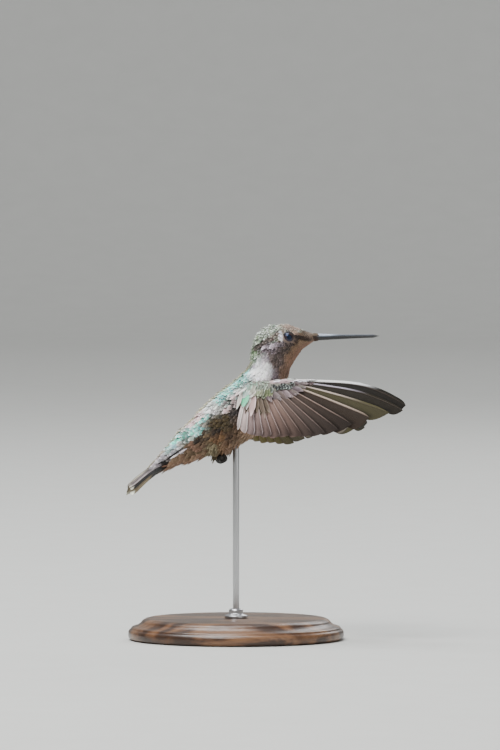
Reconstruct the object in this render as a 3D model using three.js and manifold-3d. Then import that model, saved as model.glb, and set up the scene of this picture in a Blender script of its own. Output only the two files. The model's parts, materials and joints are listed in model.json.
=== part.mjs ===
// A life-size hummingbird in hovering flight, held by a rod on a round display base.
// Millimetres, +Z up, the bird facing +X. The origin is the middle of the base's underside.

import * as THREE from "three";
import { LoftGeometry } from "three/addons/geometries/LoftGeometry.js";
import { mergeVertices } from "three/addons/utils/BufferGeometryUtils.js";
import Module from "manifold-3d";

// Where the bird hangs over the base, and how it is turned there.
const TRUNK_HEIGHT = 60;
const YAW_DEGREES = 6.4;
const BANK_DEGREES = 5.7;

// Clearances between neighbours.
const PART_GAP = 0.2;
const CUT_GAP = 0.28;
const MANDIBLE_GAP = 0.1;

// Sections of the body from the bill's root to the ends of the tail coverts. Each is a flat egg
// in a plane that holds the cross axis: its point on the back line, its point on the belly line
// (x, z from the middle of the trunk), and its half width.
const BODY_SECTIONS = {
  billRoot: { back: [22.1, 25.0], belly: [21.9, 23.0], halfWidth: 1.15 },
  lores: { back: [20.0, 25.4], belly: [20.3, 22.1], halfWidth: 2.0 },
  forehead: { back: [17.8, 26.4], belly: [18.6, 20.8], halfWidth: 3.1 },
  eyes: { back: [14.2, 27.6], belly: [17.1, 18.6], halfWidth: 4.5 },
  crown: { back: [9.2, 27.4], belly: [15.6, 15.6], halfWidth: 5.4 },
  hindCrown: { back: [5.6, 24.7], belly: [14.9, 13.1], halfWidth: 5.5 },
  nape: { back: [3.6, 21.1], belly: [14.5, 11.4], halfWidth: 5.0 },
  neck: { back: [3.1, 17.2], belly: [14.4, 9.7], halfWidth: 5.2 },
  shoulders: { back: [0.6, 13.9], belly: [13.9, 6.7], halfWidth: 6.3 },
  breast: { back: [-3.1, 10.6], belly: [11.9, 2.5], halfWidth: 7.1 },
  keel: { back: [-6.7, 7.8], belly: [8.6, -1.7], halfWidth: 7.3 },
  belly: { back: [-10.0, 4.7], belly: [3.9, -4.7], halfWidth: 7.0 },
  loin: { back: [-12.8, 1.7], belly: [0.0, -7.0], halfWidth: 6.2 },
  vent: { back: [-15.6, -1.7], belly: [-5.8, -9.2], halfWidth: 5.1 },
  rump: { back: [-18.3, -4.9], belly: [-10.6, -10.6], halfWidth: 4.1 },
  tailCoverts: { back: [-21.1, -8.1], belly: [-15.0, -11.5], halfWidth: 3.5 },
  covertEnds: { back: [-23.9, -11.1], belly: [-19.7, -13.1], halfWidth: 3.0 },
};
const RING_POINTS = 20;
const RINGS_PER_SECTION = 2;

// Eyes, set on the sides of the head.
const EYE = { x: 14.4, y: 3.25, z: 23.75, radius: 1.7 };
const EYE_SIDES = 16;
const EYE_RINGS = 10;

// Bill: its root, its tip, and its depth and width at the root and at the tip.
const BILL = {
  rootX: 22.35,
  rootZ: 24.1,
  tipX: 40.3,
  tipZ: 24.35,
  rootDepth: 1.95,
  tipDepth: 0.5,
  rootWidth: 2.1,
  tipWidth: 0.45,
};
const BILL_ROWS = 8;
const BILL_RING = 8;

// Wing: a cambered plane through the shoulder, measured by span (out along the arm) and chord
// (back from the arm's line). The span runs forwards and out, and the chord hangs down, pitched
// outwards from the plumb line.
const SHOULDER = new THREE.Vector3(7.2, 6.6, 10.0);
const SPAN_FORWARD_DEGREES = 47.1;
const SPAN_DROOP_DEGREES = 8.85;
const WING_PITCH_DEGREES = 15;
const SHOULDER_BEND = 1.5;
const CAMBER = 1.3;
const CHORD_LENGTH = 17;
const TIP_BEND = 1.6;
const WING_LENGTH = 50;
const FEATHER_THICKNESS = 0.5;

// Arm with its coverts: sections across it at a span, from its front edge to its covert edge.
const ARM_SECTIONS = [
  { span: -5.6, front: -0.4, edge: 7.9, thickness: 1.6 },
  { span: -3.0, front: -1.3, edge: 8.3, thickness: 2.8 },
  { span: 0.0, front: -2.1, edge: 7.9, thickness: 3.4 },
  { span: 2.5, front: -2.5, edge: 7.4, thickness: 3.0 },
  { span: 4.8, front: -3.0, edge: 7.0, thickness: 2.3 },
  { span: 6.2, front: -3.3, edge: 3.1, thickness: 1.9 },
  { span: 10.0, front: -3.7, edge: 1.4, thickness: 1.4 },
  { span: 14.0, front: -4.0, edge: -1.0, thickness: 1.1 },
  { span: 18.6, front: -4.2, edge: -3.7, thickness: 0.6 },
];
const ARM_RING = 14;
const ARM_ROWS_PER_SECTION = 2;

// Flight feathers: where each group leaves the coverts, and the tips of its feathers.
const PRIMARY_ROOT_SPANS = { outer: 18.4, inner: 6.6 };
const PRIMARY_TIPS = [
  [49.9, -0.2],
  [49.6, 1.3],
  [44.9, 2.9],
  [38.6, 4.9],
  [33.4, 7.4],
  [29.2, 9.3],
  [25.0, 10.7],
  [21.0, 11.6],
  [17.2, 12.2],
  [13.4, 12.6],
];
const SECONDARY_ROOT_SPANS = { outer: 6.2, inner: -5.2 };
const SECONDARY_TIPS = [
  [10.0, 13.3],
  [6.9, 13.6],
  [3.9, 13.9],
  [0.9, 14.1],
  [-2.2, 14.1],
  [-5.2, 13.6],
];
const LEADING_BOW = 2.85;
const BOW_FADE = 2.2;
const BOW_PEAK = 1.2;
const SCALLOP_DEPTH = 0.55;
const SAMPLES_PER_FEATHER = 4;
const FAN_ROWS = 5;

// Tail: ten feathers in a shallow roof behind the coverts.
const TAIL = {
  rootX: -21.2,
  rootZ: -10.5,
  directionX: -0.8,
  directionZ: -0.6,
  length: 12.7,
  rootHalfWidth: 2.3,
  tipHalfWidth: 5.6,
  rootDrop: 2.0,
  tipDrop: 2.7,
  crown: 0.4,
  notch: 0.9,
  outerShortening: 1.6,
};
const TAIL_FEATHERS = 10;
const TAIL_ROWS = 4;

// Feet, clenched under the belly.
const LEG = { x: -2.9, y: 2.2, z: -6.6, thighRadius: 0.85, ankleRadius: 0.5 };
const FOOT = { x: -4.2, y: 2.0, z: -9.55, palmRadius: 0.85, toeRadius: 0.34, curlRadius: 1.0 };
const FRONT_TOES = 3;
const FRONT_TOE_SPREAD = 0.55;
const TOE_STEPS = 6;
const TOE_SIDES = 6;
const CURL_START = 0.4;
const CURL_END = 4.1;

// Display stand.
const STAND = {
  baseRadius: 30,
  baseHeight: 6,
  collarRadius: 3.2,
  collarHeight: 2.4,
  rodRadius: 0.9,
};
const BASE_SIDES = 40;
const COLLAR_SIDES = 24;
const ROD_SIDES = 16;

const RIGHT = -1;
const LEFT = 1;

const wasm = await Module();
wasm.setup();

const colours = {
  plumage: new THREE.MeshStandardMaterial({ color: 0x7c8672, roughness: 0.6, metalness: 0.1 }),
  flightFeather: new THREE.MeshStandardMaterial({ color: 0x5b4d4a, roughness: 0.65, metalness: 0 }),
  bill: new THREE.MeshStandardMaterial({ color: 0x17171b, roughness: 0.35, metalness: 0 }),
  eye: new THREE.MeshStandardMaterial({ color: 0x080607, roughness: 0.08, metalness: 0 }),
  foot: new THREE.MeshStandardMaterial({ color: 0x1d1916, roughness: 0.6, metalness: 0 }),
  wood: new THREE.MeshStandardMaterial({ color: 0x6a4a30, roughness: 0.5, metalness: 0 }),
  metal: new THREE.MeshStandardMaterial({ color: 0xa7a9ac, roughness: 0.3, metalness: 1 }),
};

// Turns a geometry into a solid, and a solid back into a geometry.
function toSolid(geometry) {
  const bare = new THREE.BufferGeometry().copy(geometry);
  bare.deleteAttribute("normal");
  bare.deleteAttribute("uv");
  const merged = mergeVertices(bare, 1e-4);
  return new wasm.Manifold(
    new wasm.Mesh({
      numProp: 3,
      vertProperties: merged.getAttribute("position").array,
      triVerts: new Uint32Array(merged.index.array),
    }),
  );
}

function toGeometry(solid) {
  const mesh = solid.getMesh();
  const geometry = new THREE.BufferGeometry();
  geometry.setAttribute("position", new THREE.BufferAttribute(mesh.vertProperties, 3));
  geometry.setIndex(new THREE.BufferAttribute(mesh.triVerts, 1));
  return geometry;
}

// The middle of a ring of points, and the direction that it runs counterclockwise round.
function ringAxis(ring) {
  const centre = new THREE.Vector3();
  const normal = new THREE.Vector3();
  ring.forEach((point, index) => {
    const next = ring[(index + 1) % ring.length];
    centre.addScaledVector(point, 1 / ring.length);
    normal.add(new THREE.Vector3().crossVectors(point, next));
  });
  return { centre, normal };
}

// Skins closed rings of points, turning them round where they would face inwards.
function loft(rings) {
  const first = ringAxis(rings[0]);
  const second = ringAxis(rings[1]);
  const facesOut = second.centre.sub(first.centre).dot(first.normal) > 0;
  const ordered = facesOut ? rings : rings.map((ring) => ring.slice().reverse());
  return new LoftGeometry(ordered, { closed: true, capStart: true, capEnd: true });
}

// A smooth curve through the values that one field has along a row of sections.
function smoothField(values) {
  const points = values.map((value, index) => new THREE.Vector3(index, value, 0));
  const curve = new THREE.CatmullRomCurve3(points, false, "catmullrom", 0.5);
  const last = values.length - 1;
  return (place) => {
    const inside = THREE.MathUtils.clamp(place, 0, last);
    const slope = place < 0 ? values[1] - values[0] : values[last] - values[last - 1];
    return curve.getPoint(inside / last).y + slope * (place - inside);
  };
}

// Straight interpolation of a field along sections that are placed by their span.
function spanField(field, span) {
  const last = ARM_SECTIONS.length - 1;
  let index = ARM_SECTIONS.findIndex((section) => section.span > span) - 1;
  if (index < 0) {
    index = span <= ARM_SECTIONS[0].span ? 0 : last - 1;
  }
  const from = ARM_SECTIONS[index];
  const to = ARM_SECTIONS[index + 1];
  const share = (span - from.span) / (to.span - from.span);
  return THREE.MathUtils.lerp(from[field], to[field], share);
}

// Body.
const sectionNames = Object.keys(BODY_SECTIONS);
const sections = Object.values(BODY_SECTIONS);
const body = {
  backX: smoothField(sections.map((section) => section.back[0])),
  backZ: smoothField(sections.map((section) => section.back[1])),
  bellyX: smoothField(sections.map((section) => section.belly[0])),
  bellyZ: smoothField(sections.map((section) => section.belly[1])),
  halfWidth: smoothField(sections.map((section) => section.halfWidth)),
};

function bodyRing(place, swell) {
  const back = new THREE.Vector3(body.backX(place), 0, body.backZ(place));
  const belly = new THREE.Vector3(body.bellyX(place), 0, body.bellyZ(place));
  const middle = back.clone().add(belly).multiplyScalar(0.5);
  const upward = back.clone().sub(belly);
  const halfDepth = upward.length() / 2 + swell;
  upward.normalize();
  const ring = [];
  for (let index = 0; index < RING_POINTS; index += 1) {
    const angle = (index / RING_POINTS) * 2 * Math.PI;
    const point = middle.clone().addScaledVector(upward, halfDepth * Math.cos(angle));
    point.y = (body.halfWidth(place) + swell) * Math.sin(angle);
    ring.push(point);
  }
  return ring;
}

function bodyLength(fromName, toName, { startGap = 0, endGap = 0, swell = 0 } = {}) {
  const from = sectionNames.indexOf(fromName);
  const to = sectionNames.indexOf(toName);
  const spacing = (place) =>
    Math.hypot(
      body.backX(place) + body.bellyX(place) - body.backX(place + 0.1) - body.bellyX(place + 0.1),
      body.backZ(place) + body.bellyZ(place) - body.backZ(place + 0.1) - body.bellyZ(place + 0.1),
    ) * 5;
  const start = from + startGap / spacing(from);
  const end = to - endGap / spacing(to - 0.1);
  const rows = (to - from) * RINGS_PER_SECTION;
  const rings = [];
  for (let row = 0; row <= rows; row += 1) {
    rings.push(bodyRing(THREE.MathUtils.lerp(start, end, row / rows), swell));
  }
  return loft(rings);
}

function eyeSphere(radius, side) {
  const sphere = new THREE.SphereGeometry(radius, EYE_SIDES, EYE_RINGS);
  return sphere.translate(EYE.x, side * EYE.y, EYE.z);
}

function headGeometry() {
  let head = toSolid(bodyLength("billRoot", "nape", { endGap: PART_GAP }));
  for (const side of [RIGHT, LEFT]) {
    head = head.subtract(toSolid(eyeSphere(EYE.radius + CUT_GAP, side)));
  }
  return toGeometry(head);
}

const swollenBody = toSolid(bodyLength("hindCrown", "covertEnds", { swell: CUT_GAP }));

// Bill: the upper half is a rounded ridge and the lower half a shallow keel.
function mandible(direction) {
  const rings = [];
  for (let row = 0; row <= BILL_ROWS; row += 1) {
    const share = row / BILL_ROWS;
    const taper = (1 - share) ** 1.6;
    const depth = THREE.MathUtils.lerp(BILL.tipDepth, BILL.rootDepth, taper) / 2;
    const width = THREE.MathUtils.lerp(BILL.tipWidth, BILL.rootWidth, taper) / 2;
    const x = THREE.MathUtils.lerp(BILL.rootX, BILL.tipX, share);
    const z = THREE.MathUtils.lerp(BILL.rootZ, BILL.tipZ, share) + (direction * MANDIBLE_GAP) / 2;
    const ring = [];
    for (let index = 0; index <= BILL_RING; index += 1) {
      const angle = (index / BILL_RING) * Math.PI;
      const rise = direction * (depth - MANDIBLE_GAP / 2) * Math.sin(angle);
      ring.push(new THREE.Vector3(x, width * Math.cos(angle), z + rise));
    }
    rings.push(ring);
  }
  return loft(rings);
}

// Wings: the unit directions of span, chord and upper side, written for the left wing.
const forward = THREE.MathUtils.degToRad(SPAN_FORWARD_DEGREES);
const droop = THREE.MathUtils.degToRad(SPAN_DROOP_DEGREES);
const pitch = THREE.MathUtils.degToRad(WING_PITCH_DEGREES);
const levelSpan = new THREE.Vector3(Math.sin(forward), Math.cos(forward), 0);
const spanDirection = levelSpan.clone().multiplyScalar(Math.cos(droop));
spanDirection.z = -Math.sin(droop);
const plumb = levelSpan.clone().multiplyScalar(-Math.sin(droop));
plumb.z = -Math.cos(droop);
const chordDirection = plumb.multiplyScalar(Math.cos(pitch));
chordDirection.x -= Math.cos(forward) * Math.sin(pitch);
chordDirection.y += Math.sin(forward) * Math.sin(pitch);
const upperSide = new THREE.Vector3().crossVectors(spanDirection, chordDirection);

function wingPoint(side, span, chord, height) {
  const alongChord = THREE.MathUtils.clamp(chord / CHORD_LENGTH + 0.25, 0, 1);
  const tipShare = Math.max(span, 0) / WING_LENGTH;
  const crown = CAMBER * 4 * alongChord * (1 - alongChord) * (1 - tipShare);
  const lift = height + crown + TIP_BEND * tipShare ** 2;
  const outward = SHOULDER_BEND * Math.log(1 + Math.exp(span / SHOULDER_BEND));
  const point = SHOULDER.clone();
  point.x += spanDirection.x * span;
  point.y += spanDirection.y * outward;
  point.z += spanDirection.z * span;
  point.addScaledVector(chordDirection, chord).addScaledVector(upperSide, lift);
  point.y *= side;
  return point;
}

function armGeometry(side) {
  const rings = [];
  const rows = (ARM_SECTIONS.length - 1) * ARM_ROWS_PER_SECTION;
  for (let row = 0; row <= rows; row += 1) {
    const index = Math.min(Math.floor(row / ARM_ROWS_PER_SECTION), ARM_SECTIONS.length - 2);
    const share = row / ARM_ROWS_PER_SECTION - index;
    const from = ARM_SECTIONS[index].span;
    const span = THREE.MathUtils.lerp(from, ARM_SECTIONS[index + 1].span, share);
    const front = spanField("front", span);
    const edge = spanField("edge", span);
    const thickness = spanField("thickness", span);
    const ring = [];
    for (let step = 0; step < ARM_RING; step += 1) {
      const angle = (step / ARM_RING) * 2 * Math.PI;
      const chord = (front + edge) / 2 - ((edge - front) / 2) * Math.cos(angle);
      const fullness = 1 - 0.55 * ((chord - front) / (edge - front)) ** 2;
      const height = (thickness / 2) * fullness * Math.sin(angle);
      ring.push(wingPoint(side, span, chord, height));
    }
    rings.push(ring);
  }
  return toGeometry(toSolid(loft(rings)).subtract(swollenBody));
}

// A fan of overlapping feathers as one thin plate with a scalloped edge.
function fanGeometry(side, tips, rootSpans, { first, last, bow }) {
  const samples = Math.round((last - first) * SAMPLES_PER_FEATHER);
  const tipSpan = smoothField(tips.map((tip) => tip[0]));
  const tipChord = smoothField(tips.map((tip) => tip[1]));
  const rings = [];
  for (let sample = 0; sample <= samples; sample += 1) {
    const place = THREE.MathUtils.lerp(first, last, sample / samples);
    const rootShare = (place - first) / (last - first);
    const rootSpan = THREE.MathUtils.lerp(rootSpans.outer, rootSpans.inner, rootShare);
    const rootChord = spanField("edge", rootSpan) + CUT_GAP;
    const dip = SCALLOP_DEPTH * Math.abs(Math.sin(Math.PI * place)) ** 2;
    const endSpan = tipSpan(place);
    const endChord = tipChord(place);
    const length = Math.hypot(endSpan - rootSpan, endChord - rootChord);
    const reach = 1 - dip / length;
    const bowHere = bow * (1 - rootShare) ** BOW_FADE;
    const upper = [];
    const lower = [];
    for (let row = 0; row <= FAN_ROWS; row += 1) {
      const share = (row / FAN_ROWS) * reach;
      const span = THREE.MathUtils.lerp(rootSpan, endSpan, share);
      const straight = THREE.MathUtils.lerp(rootChord, endChord, share);
      const chord = straight - bowHere * Math.sin(Math.PI * share ** BOW_PEAK);
      upper.push(wingPoint(side, span, chord, FEATHER_THICKNESS / 2));
      lower.push(wingPoint(side, span, chord, -FEATHER_THICKNESS / 2));
    }
    rings.push(upper.concat(lower.reverse()));
  }
  return toGeometry(toSolid(loft(rings)).subtract(swollenBody));
}

function primariesGeometry(side) {
  const options = { first: -0.3, last: PRIMARY_TIPS.length - 0.55, bow: LEADING_BOW };
  return fanGeometry(side, PRIMARY_TIPS, PRIMARY_ROOT_SPANS, options);
}

function secondariesGeometry(side) {
  const options = { first: -0.5, last: SECONDARY_TIPS.length - 0.8, bow: 0 };
  return fanGeometry(side, SECONDARY_TIPS, SECONDARY_ROOT_SPANS, options);
}

// Tail: a shallow roof of feathers with a notched, scalloped end.
function tailGeometry() {
  const along = new THREE.Vector3(TAIL.directionX, 0, TAIL.directionZ).normalize();
  const upward = new THREE.Vector3(along.z, 0, -along.x);
  const samples = TAIL_FEATHERS * SAMPLES_PER_FEATHER;
  const rings = [];
  for (let sample = 0; sample <= samples; sample += 1) {
    const across = (sample / samples) * 2 - 1;
    const feather = (sample / samples) * TAIL_FEATHERS;
    const dip = SCALLOP_DEPTH * Math.cos(Math.PI * feather) ** 2;
    const outer = Math.abs(across);
    const shortening = TAIL.outerShortening * outer ** 4 + TAIL.notch * (1 - outer) ** 2;
    const reach = TAIL.length - shortening - dip;
    const upper = [];
    const lower = [];
    for (let row = 0; row <= TAIL_ROWS; row += 1) {
      const share = row / TAIL_ROWS;
      const halfWidth = THREE.MathUtils.lerp(TAIL.rootHalfWidth, TAIL.tipHalfWidth, share ** 0.8);
      const drop = THREE.MathUtils.lerp(TAIL.rootDrop, TAIL.tipDrop, share) * across ** 2;
      const height = TAIL.crown * Math.sin(Math.PI * share) - drop;
      const point = new THREE.Vector3(TAIL.rootX, across * halfWidth, TAIL.rootZ);
      point.addScaledVector(along, reach * share);
      upper.push(point.clone().addScaledVector(upward, height + FEATHER_THICKNESS / 2));
      lower.push(point.clone().addScaledVector(upward, height - FEATHER_THICKNESS / 2));
    }
    rings.push(upper.concat(lower.reverse()));
  }
  return toGeometry(toSolid(loft(rings)).subtract(swollenBody));
}

// Legs and feet.
function taperedRod(from, to, fromRadius, toRadius, sides) {
  const length = from.distanceTo(to);
  const rod = new THREE.CylinderGeometry(toRadius, fromRadius, length, sides, 1);
  const turn = new THREE.Quaternion().setFromUnitVectors(
    new THREE.Vector3(0, 1, 0),
    to.clone().sub(from).normalize(),
  );
  rod.applyQuaternion(turn);
  return rod.translate((from.x + to.x) / 2, (from.y + to.y) / 2, (from.z + to.z) / 2);
}

function legGeometry(side) {
  const hip = new THREE.Vector3(LEG.x, side * LEG.y, LEG.z);
  const palm = new THREE.Vector3(FOOT.x, side * FOOT.y, FOOT.z);
  const stop = (FOOT.palmRadius + CUT_GAP) / hip.distanceTo(palm);
  const ankle = palm.clone().lerp(hip, stop);
  const leg = taperedRod(hip, ankle, LEG.thighRadius, LEG.ankleRadius, 12);
  return toGeometry(toSolid(leg).subtract(swollenBody));
}

function toeGeometry(side, sideways, forward) {
  const rings = [];
  for (let step = 0; step <= TOE_STEPS; step += 1) {
    const share = step / TOE_STEPS;
    const bend = THREE.MathUtils.lerp(CURL_START, CURL_END, share);
    const radius = FOOT.toeRadius * (1 - 0.75 * share ** 2);
    const centre = new THREE.Vector3(
      FOOT.x + forward * FOOT.curlRadius * Math.sin(bend),
      side * FOOT.y + sideways,
      FOOT.z - 0.35 + FOOT.curlRadius * 0.75 * Math.cos(bend),
    );
    const outward = new THREE.Vector3(forward * Math.sin(bend), 0, Math.cos(bend));
    const ring = [];
    for (let index = 0; index < TOE_SIDES; index += 1) {
      const angle = (index / TOE_SIDES) * 2 * Math.PI;
      const point = centre.clone().addScaledVector(outward, radius * Math.cos(angle));
      point.y += radius * Math.sin(angle);
      ring.push(point);
    }
    rings.push(ring);
  }
  return loft(rings);
}

function footGeometry(side) {
  const palm = new THREE.SphereGeometry(FOOT.palmRadius, TOE_SIDES * 2, TOE_SIDES);
  let foot = toSolid(palm.translate(FOOT.x, side * FOOT.y, FOOT.z));
  for (let toe = 0; toe < FRONT_TOES; toe += 1) {
    const sideways = (toe - (FRONT_TOES - 1) / 2) * FRONT_TOE_SPREAD;
    foot = foot.add(toSolid(toeGeometry(side, sideways, 1)));
  }
  foot = foot.add(toSolid(toeGeometry(side, 0, -1)));
  return toGeometry(foot);
}

// Stand: a turned base, a low collar, and a rod that stops just under the belly feathers.
function turned(profile, sides) {
  const outline = profile.map(([radius, height]) => new THREE.Vector2(radius, height));
  return new THREE.LatheGeometry(outline, sides).rotateX(Math.PI / 2);
}

function baseGeometry() {
  const { baseRadius, baseHeight } = STAND;
  return turned(
    [
      [0, 0],
      [baseRadius - 0.6, 0],
      [baseRadius, 0.6],
      [baseRadius, baseHeight * 0.45],
      [baseRadius - 0.5, baseHeight * 0.6],
      [baseRadius - 2.2, baseHeight * 0.72],
      [baseRadius - 3.4, baseHeight * 0.92],
      [baseRadius - 4.2, baseHeight],
      [0, baseHeight],
    ],
    BASE_SIDES,
  );
}

function collarGeometry() {
  const foot = STAND.baseHeight + PART_GAP;
  const top = foot + STAND.collarHeight;
  return turned(
    [
      [0, foot],
      [STAND.collarRadius, foot],
      [STAND.collarRadius, foot + 0.8],
      [STAND.collarRadius * 0.55, top - 0.5],
      [STAND.collarRadius * 0.45, top],
      [0, top],
    ],
    COLLAR_SIDES,
  );
}

function rodGeometry(birdMatrix) {
  const foot = STAND.baseHeight + STAND.collarHeight + 2 * PART_GAP;
  const from = new THREE.Vector3(0, 0, foot);
  const to = new THREE.Vector3(0, 0, TRUNK_HEIGHT - 3);
  const rod = toSolid(taperedRod(from, to, STAND.rodRadius, STAND.rodRadius, ROD_SIDES));
  const placedBody = swollenBody.transform(birdMatrix.elements);
  return toGeometry(rod.subtract(placedBody));
}

function named(name, geometry, material) {
  const mesh = new THREE.Mesh(geometry, material);
  mesh.name = name;
  return mesh;
}

const bird = new THREE.Group();
bird.position.z = TRUNK_HEIGHT;
bird.rotation.order = "ZYX";
bird.rotation.z = THREE.MathUtils.degToRad(YAW_DEGREES);
bird.rotation.x = -THREE.MathUtils.degToRad(BANK_DEGREES);
bird.updateMatrix();

const neckGaps = { endGap: PART_GAP };
bird.add(named("head", headGeometry(), colours.plumage));
bird.add(named("neck", bodyLength("nape", "shoulders", neckGaps), colours.plumage));
bird.add(named("trunk", bodyLength("shoulders", "vent", neckGaps), colours.plumage));
bird.add(named("rump", bodyLength("vent", "covertEnds"), colours.plumage));
bird.add(named("tail", tailGeometry(), colours.flightFeather));
bird.add(named("bill_upper", mandible(1), colours.bill));
bird.add(named("bill_lower", mandible(-1), colours.bill));

for (const [sideName, side] of Object.entries({ right: RIGHT, left: LEFT })) {
  const wing = new THREE.Group();
  const armName = `wing_${sideName}_arm`;
  const primariesName = `wing_${sideName}_primaries`;
  const secondariesName = `wing_${sideName}_secondaries`;
  wing.add(named(armName, armGeometry(side), colours.plumage));
  wing.add(named(primariesName, primariesGeometry(side), colours.flightFeather));
  wing.add(named(secondariesName, secondariesGeometry(side), colours.flightFeather));
  bird.add(wing);
  bird.add(named(`eye_${sideName}`, eyeSphere(EYE.radius, side), colours.eye));
  bird.add(named(`leg_${sideName}`, legGeometry(side), colours.plumage));
  bird.add(named(`foot_${sideName}`, footGeometry(side), colours.foot));
}

const stand = new THREE.Group();
stand.add(named("stand_base", baseGeometry(), colours.wood));
stand.add(named("stand_collar", collarGeometry(), colours.metal));
stand.add(named("stand_rod", rodGeometry(bird.matrix), colours.metal));

const hummingbird = new THREE.Group();
hummingbird.add(bird);
hummingbird.add(stand);

export default hummingbird;
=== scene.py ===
import json
import math

import bpy
import numpy as np
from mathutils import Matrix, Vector
from mathutils.kdtree import KDTree

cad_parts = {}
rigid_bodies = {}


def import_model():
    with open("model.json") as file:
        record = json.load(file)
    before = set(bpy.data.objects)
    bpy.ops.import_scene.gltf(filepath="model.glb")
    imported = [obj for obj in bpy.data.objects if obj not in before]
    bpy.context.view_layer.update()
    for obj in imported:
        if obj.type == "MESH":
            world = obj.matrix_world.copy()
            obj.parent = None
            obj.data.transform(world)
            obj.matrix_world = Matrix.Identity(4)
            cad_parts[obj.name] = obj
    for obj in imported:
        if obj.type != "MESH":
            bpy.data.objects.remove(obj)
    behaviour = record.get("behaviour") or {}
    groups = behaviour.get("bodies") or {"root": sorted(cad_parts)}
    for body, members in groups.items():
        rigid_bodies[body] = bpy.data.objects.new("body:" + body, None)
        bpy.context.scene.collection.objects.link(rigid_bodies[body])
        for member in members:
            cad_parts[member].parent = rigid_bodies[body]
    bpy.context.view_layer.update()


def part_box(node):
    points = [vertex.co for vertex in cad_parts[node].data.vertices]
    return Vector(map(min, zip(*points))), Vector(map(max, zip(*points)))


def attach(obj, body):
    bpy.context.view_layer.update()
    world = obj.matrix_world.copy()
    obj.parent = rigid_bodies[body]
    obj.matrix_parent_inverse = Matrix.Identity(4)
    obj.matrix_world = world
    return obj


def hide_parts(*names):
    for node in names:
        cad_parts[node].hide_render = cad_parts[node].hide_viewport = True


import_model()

# Plinth: a round foot of dark walnut, turned on a lathe with a cove under its top, sanded and
# waxed. It is heavy enough to carry the bird, and the collar of the rod is let into its middle.
plinth_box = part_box("stand_base")
PLINTH_RADIUS = plinth_box[1].x
PLINTH_HEIGHT = plinth_box[1].z
PLINTH_SIDES = 128
WALNUT_DARK = (0.035, 0.014, 0.006, 1)
WALNUT_MID = (0.105, 0.046, 0.020, 1)
WALNUT_LIGHT = (0.200, 0.098, 0.045, 1)


class Socket:
    """One socket of a shader, so that sums on it read as ordinary arithmetic."""

    def __init__(self, tree, socket=None):
        self.tree = tree
        self.socket = socket

    def node(self, kind, settings=None, inputs=None, output=0):
        """A new node of that kind: its settings are set first, then its sockets."""
        made = self.tree.nodes.new(kind)
        settings = dict(settings or {})
        stops = settings.pop("stops", None)
        for name, value in settings.items():
            setattr(made, name, value)
        if stops:
            ramp = made.color_ramp.elements
            while len(ramp) < len(stops):
                ramp.new(0.5)
            for element, (position, colour) in zip(ramp, stops):
                element.position = position
                element.color = colour
        for name, value in (inputs or {}).items():
            if isinstance(value, Socket):
                self.tree.links.new(value.socket, made.inputs[name])
            else:
                made.inputs[name].default_value = value
        return Socket(self.tree, made.outputs[output])

    def maths(self, operation, *values):
        return self.node("ShaderNodeMath", {"operation": operation}, dict(enumerate(values)))

    def __add__(self, other):
        return self.maths("ADD", self, other)

    def __sub__(self, other):
        return self.maths("SUBTRACT", self, other)

    def __rsub__(self, other):
        return self.maths("SUBTRACT", other, self)

    def __mul__(self, other):
        return self.maths("MULTIPLY", self, other)

    def __abs__(self):
        return self.maths("ABSOLUTE", self)

    __radd__ = __add__
    __rmul__ = __mul__

    def sine(self):
        return self.maths("SINE", self)

    def top(self, other):
        """The larger of two values."""
        return self.maths("MAXIMUM", self, other)

    def step(self, start, end):
        """0 below start and 1 above end, with a smooth rise between them."""
        settings = {"interpolation_type": "SMOOTHSTEP"}
        inputs = {"Value": self, "From Min": start, "From Max": end}
        return self.node("ShaderNodeMapRange", settings, inputs)

    def blend(self, first, second):
        """The first colour where this is 0 and the second where it is 1."""
        settings = {"data_type": "RGBA", "clamp_factor": True}
        return self.node("ShaderNodeMix", settings, {0: self, 6: first, 7: second}, 2)

    def nearer(self, colour, share):
        """This colour, moved by a fixed share of the way to another one."""
        inputs = {0: share, 6: self, 7: colour}
        return self.node("ShaderNodeMix", {"data_type": "RGBA"}, inputs, 2)

    def scaled(self, scale):
        return self.node("ShaderNodeMapping", {}, {"Vector": self, "Scale": scale})

    def noise(self, scale, detail=2.0):
        """Soft noise over the places in this socket."""
        inputs = {"Vector": self, "Scale": scale, "Detail": detail}
        return self.node("ShaderNodeTexNoise", {}, inputs)

    def cells(self, scale):
        """How far the places in this socket are from the middles of small cells."""
        return self.node("ShaderNodeTexVoronoi", {}, {"Vector": self, "Scale": scale})

    def stored(self, name, output="Color"):
        """The mesh's attribute of that name, as a colour or as one value."""
        return self.node("ShaderNodeAttribute", {"attribute_name": name}, output=output)

    def feed(self, shader, name):
        self.tree.links.new(self.socket, shader.inputs[name])


def new_finish(name, **constants):
    """A material, its object coordinates, and its shader with constants set."""
    material = bpy.data.materials.new(name)
    material.use_nodes = True
    shader = material.node_tree.nodes["Principled BSDF"]
    for key, value in constants.items():
        shader.inputs[key.replace("_", " ")].default_value = value
    place = Socket(material.node_tree).node("ShaderNodeTexCoord", output="Object")
    return material, place, shader


def bump(height, shader, strength, distance):
    inputs = {"Height": height, "Strength": strength, "Distance": distance}
    height.node("ShaderNodeBump", {}, inputs).feed(shader, "Normal")


def new_piece(name, vertices, faces, material, smooth_angle=None):
    """A mesh object with its place in its vertices, shaded smooth up to an angle."""
    mesh = bpy.data.meshes.new(name)
    mesh.from_pydata([tuple(vertex) for vertex in vertices], [], [tuple(f) for f in faces])
    mesh.shade_smooth()
    if smooth_angle is not None:
        mesh.set_sharp_from_angle(angle=smooth_angle)
    mesh.materials.append(material)
    piece = bpy.data.objects.new(name, mesh)
    bpy.context.scene.collection.objects.link(piece)
    return piece


def fix(piece, slot, *nodes):
    """Ties a finished piece to the model's one body."""
    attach(piece, "root")
    if nodes:
        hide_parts(*nodes)


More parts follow.
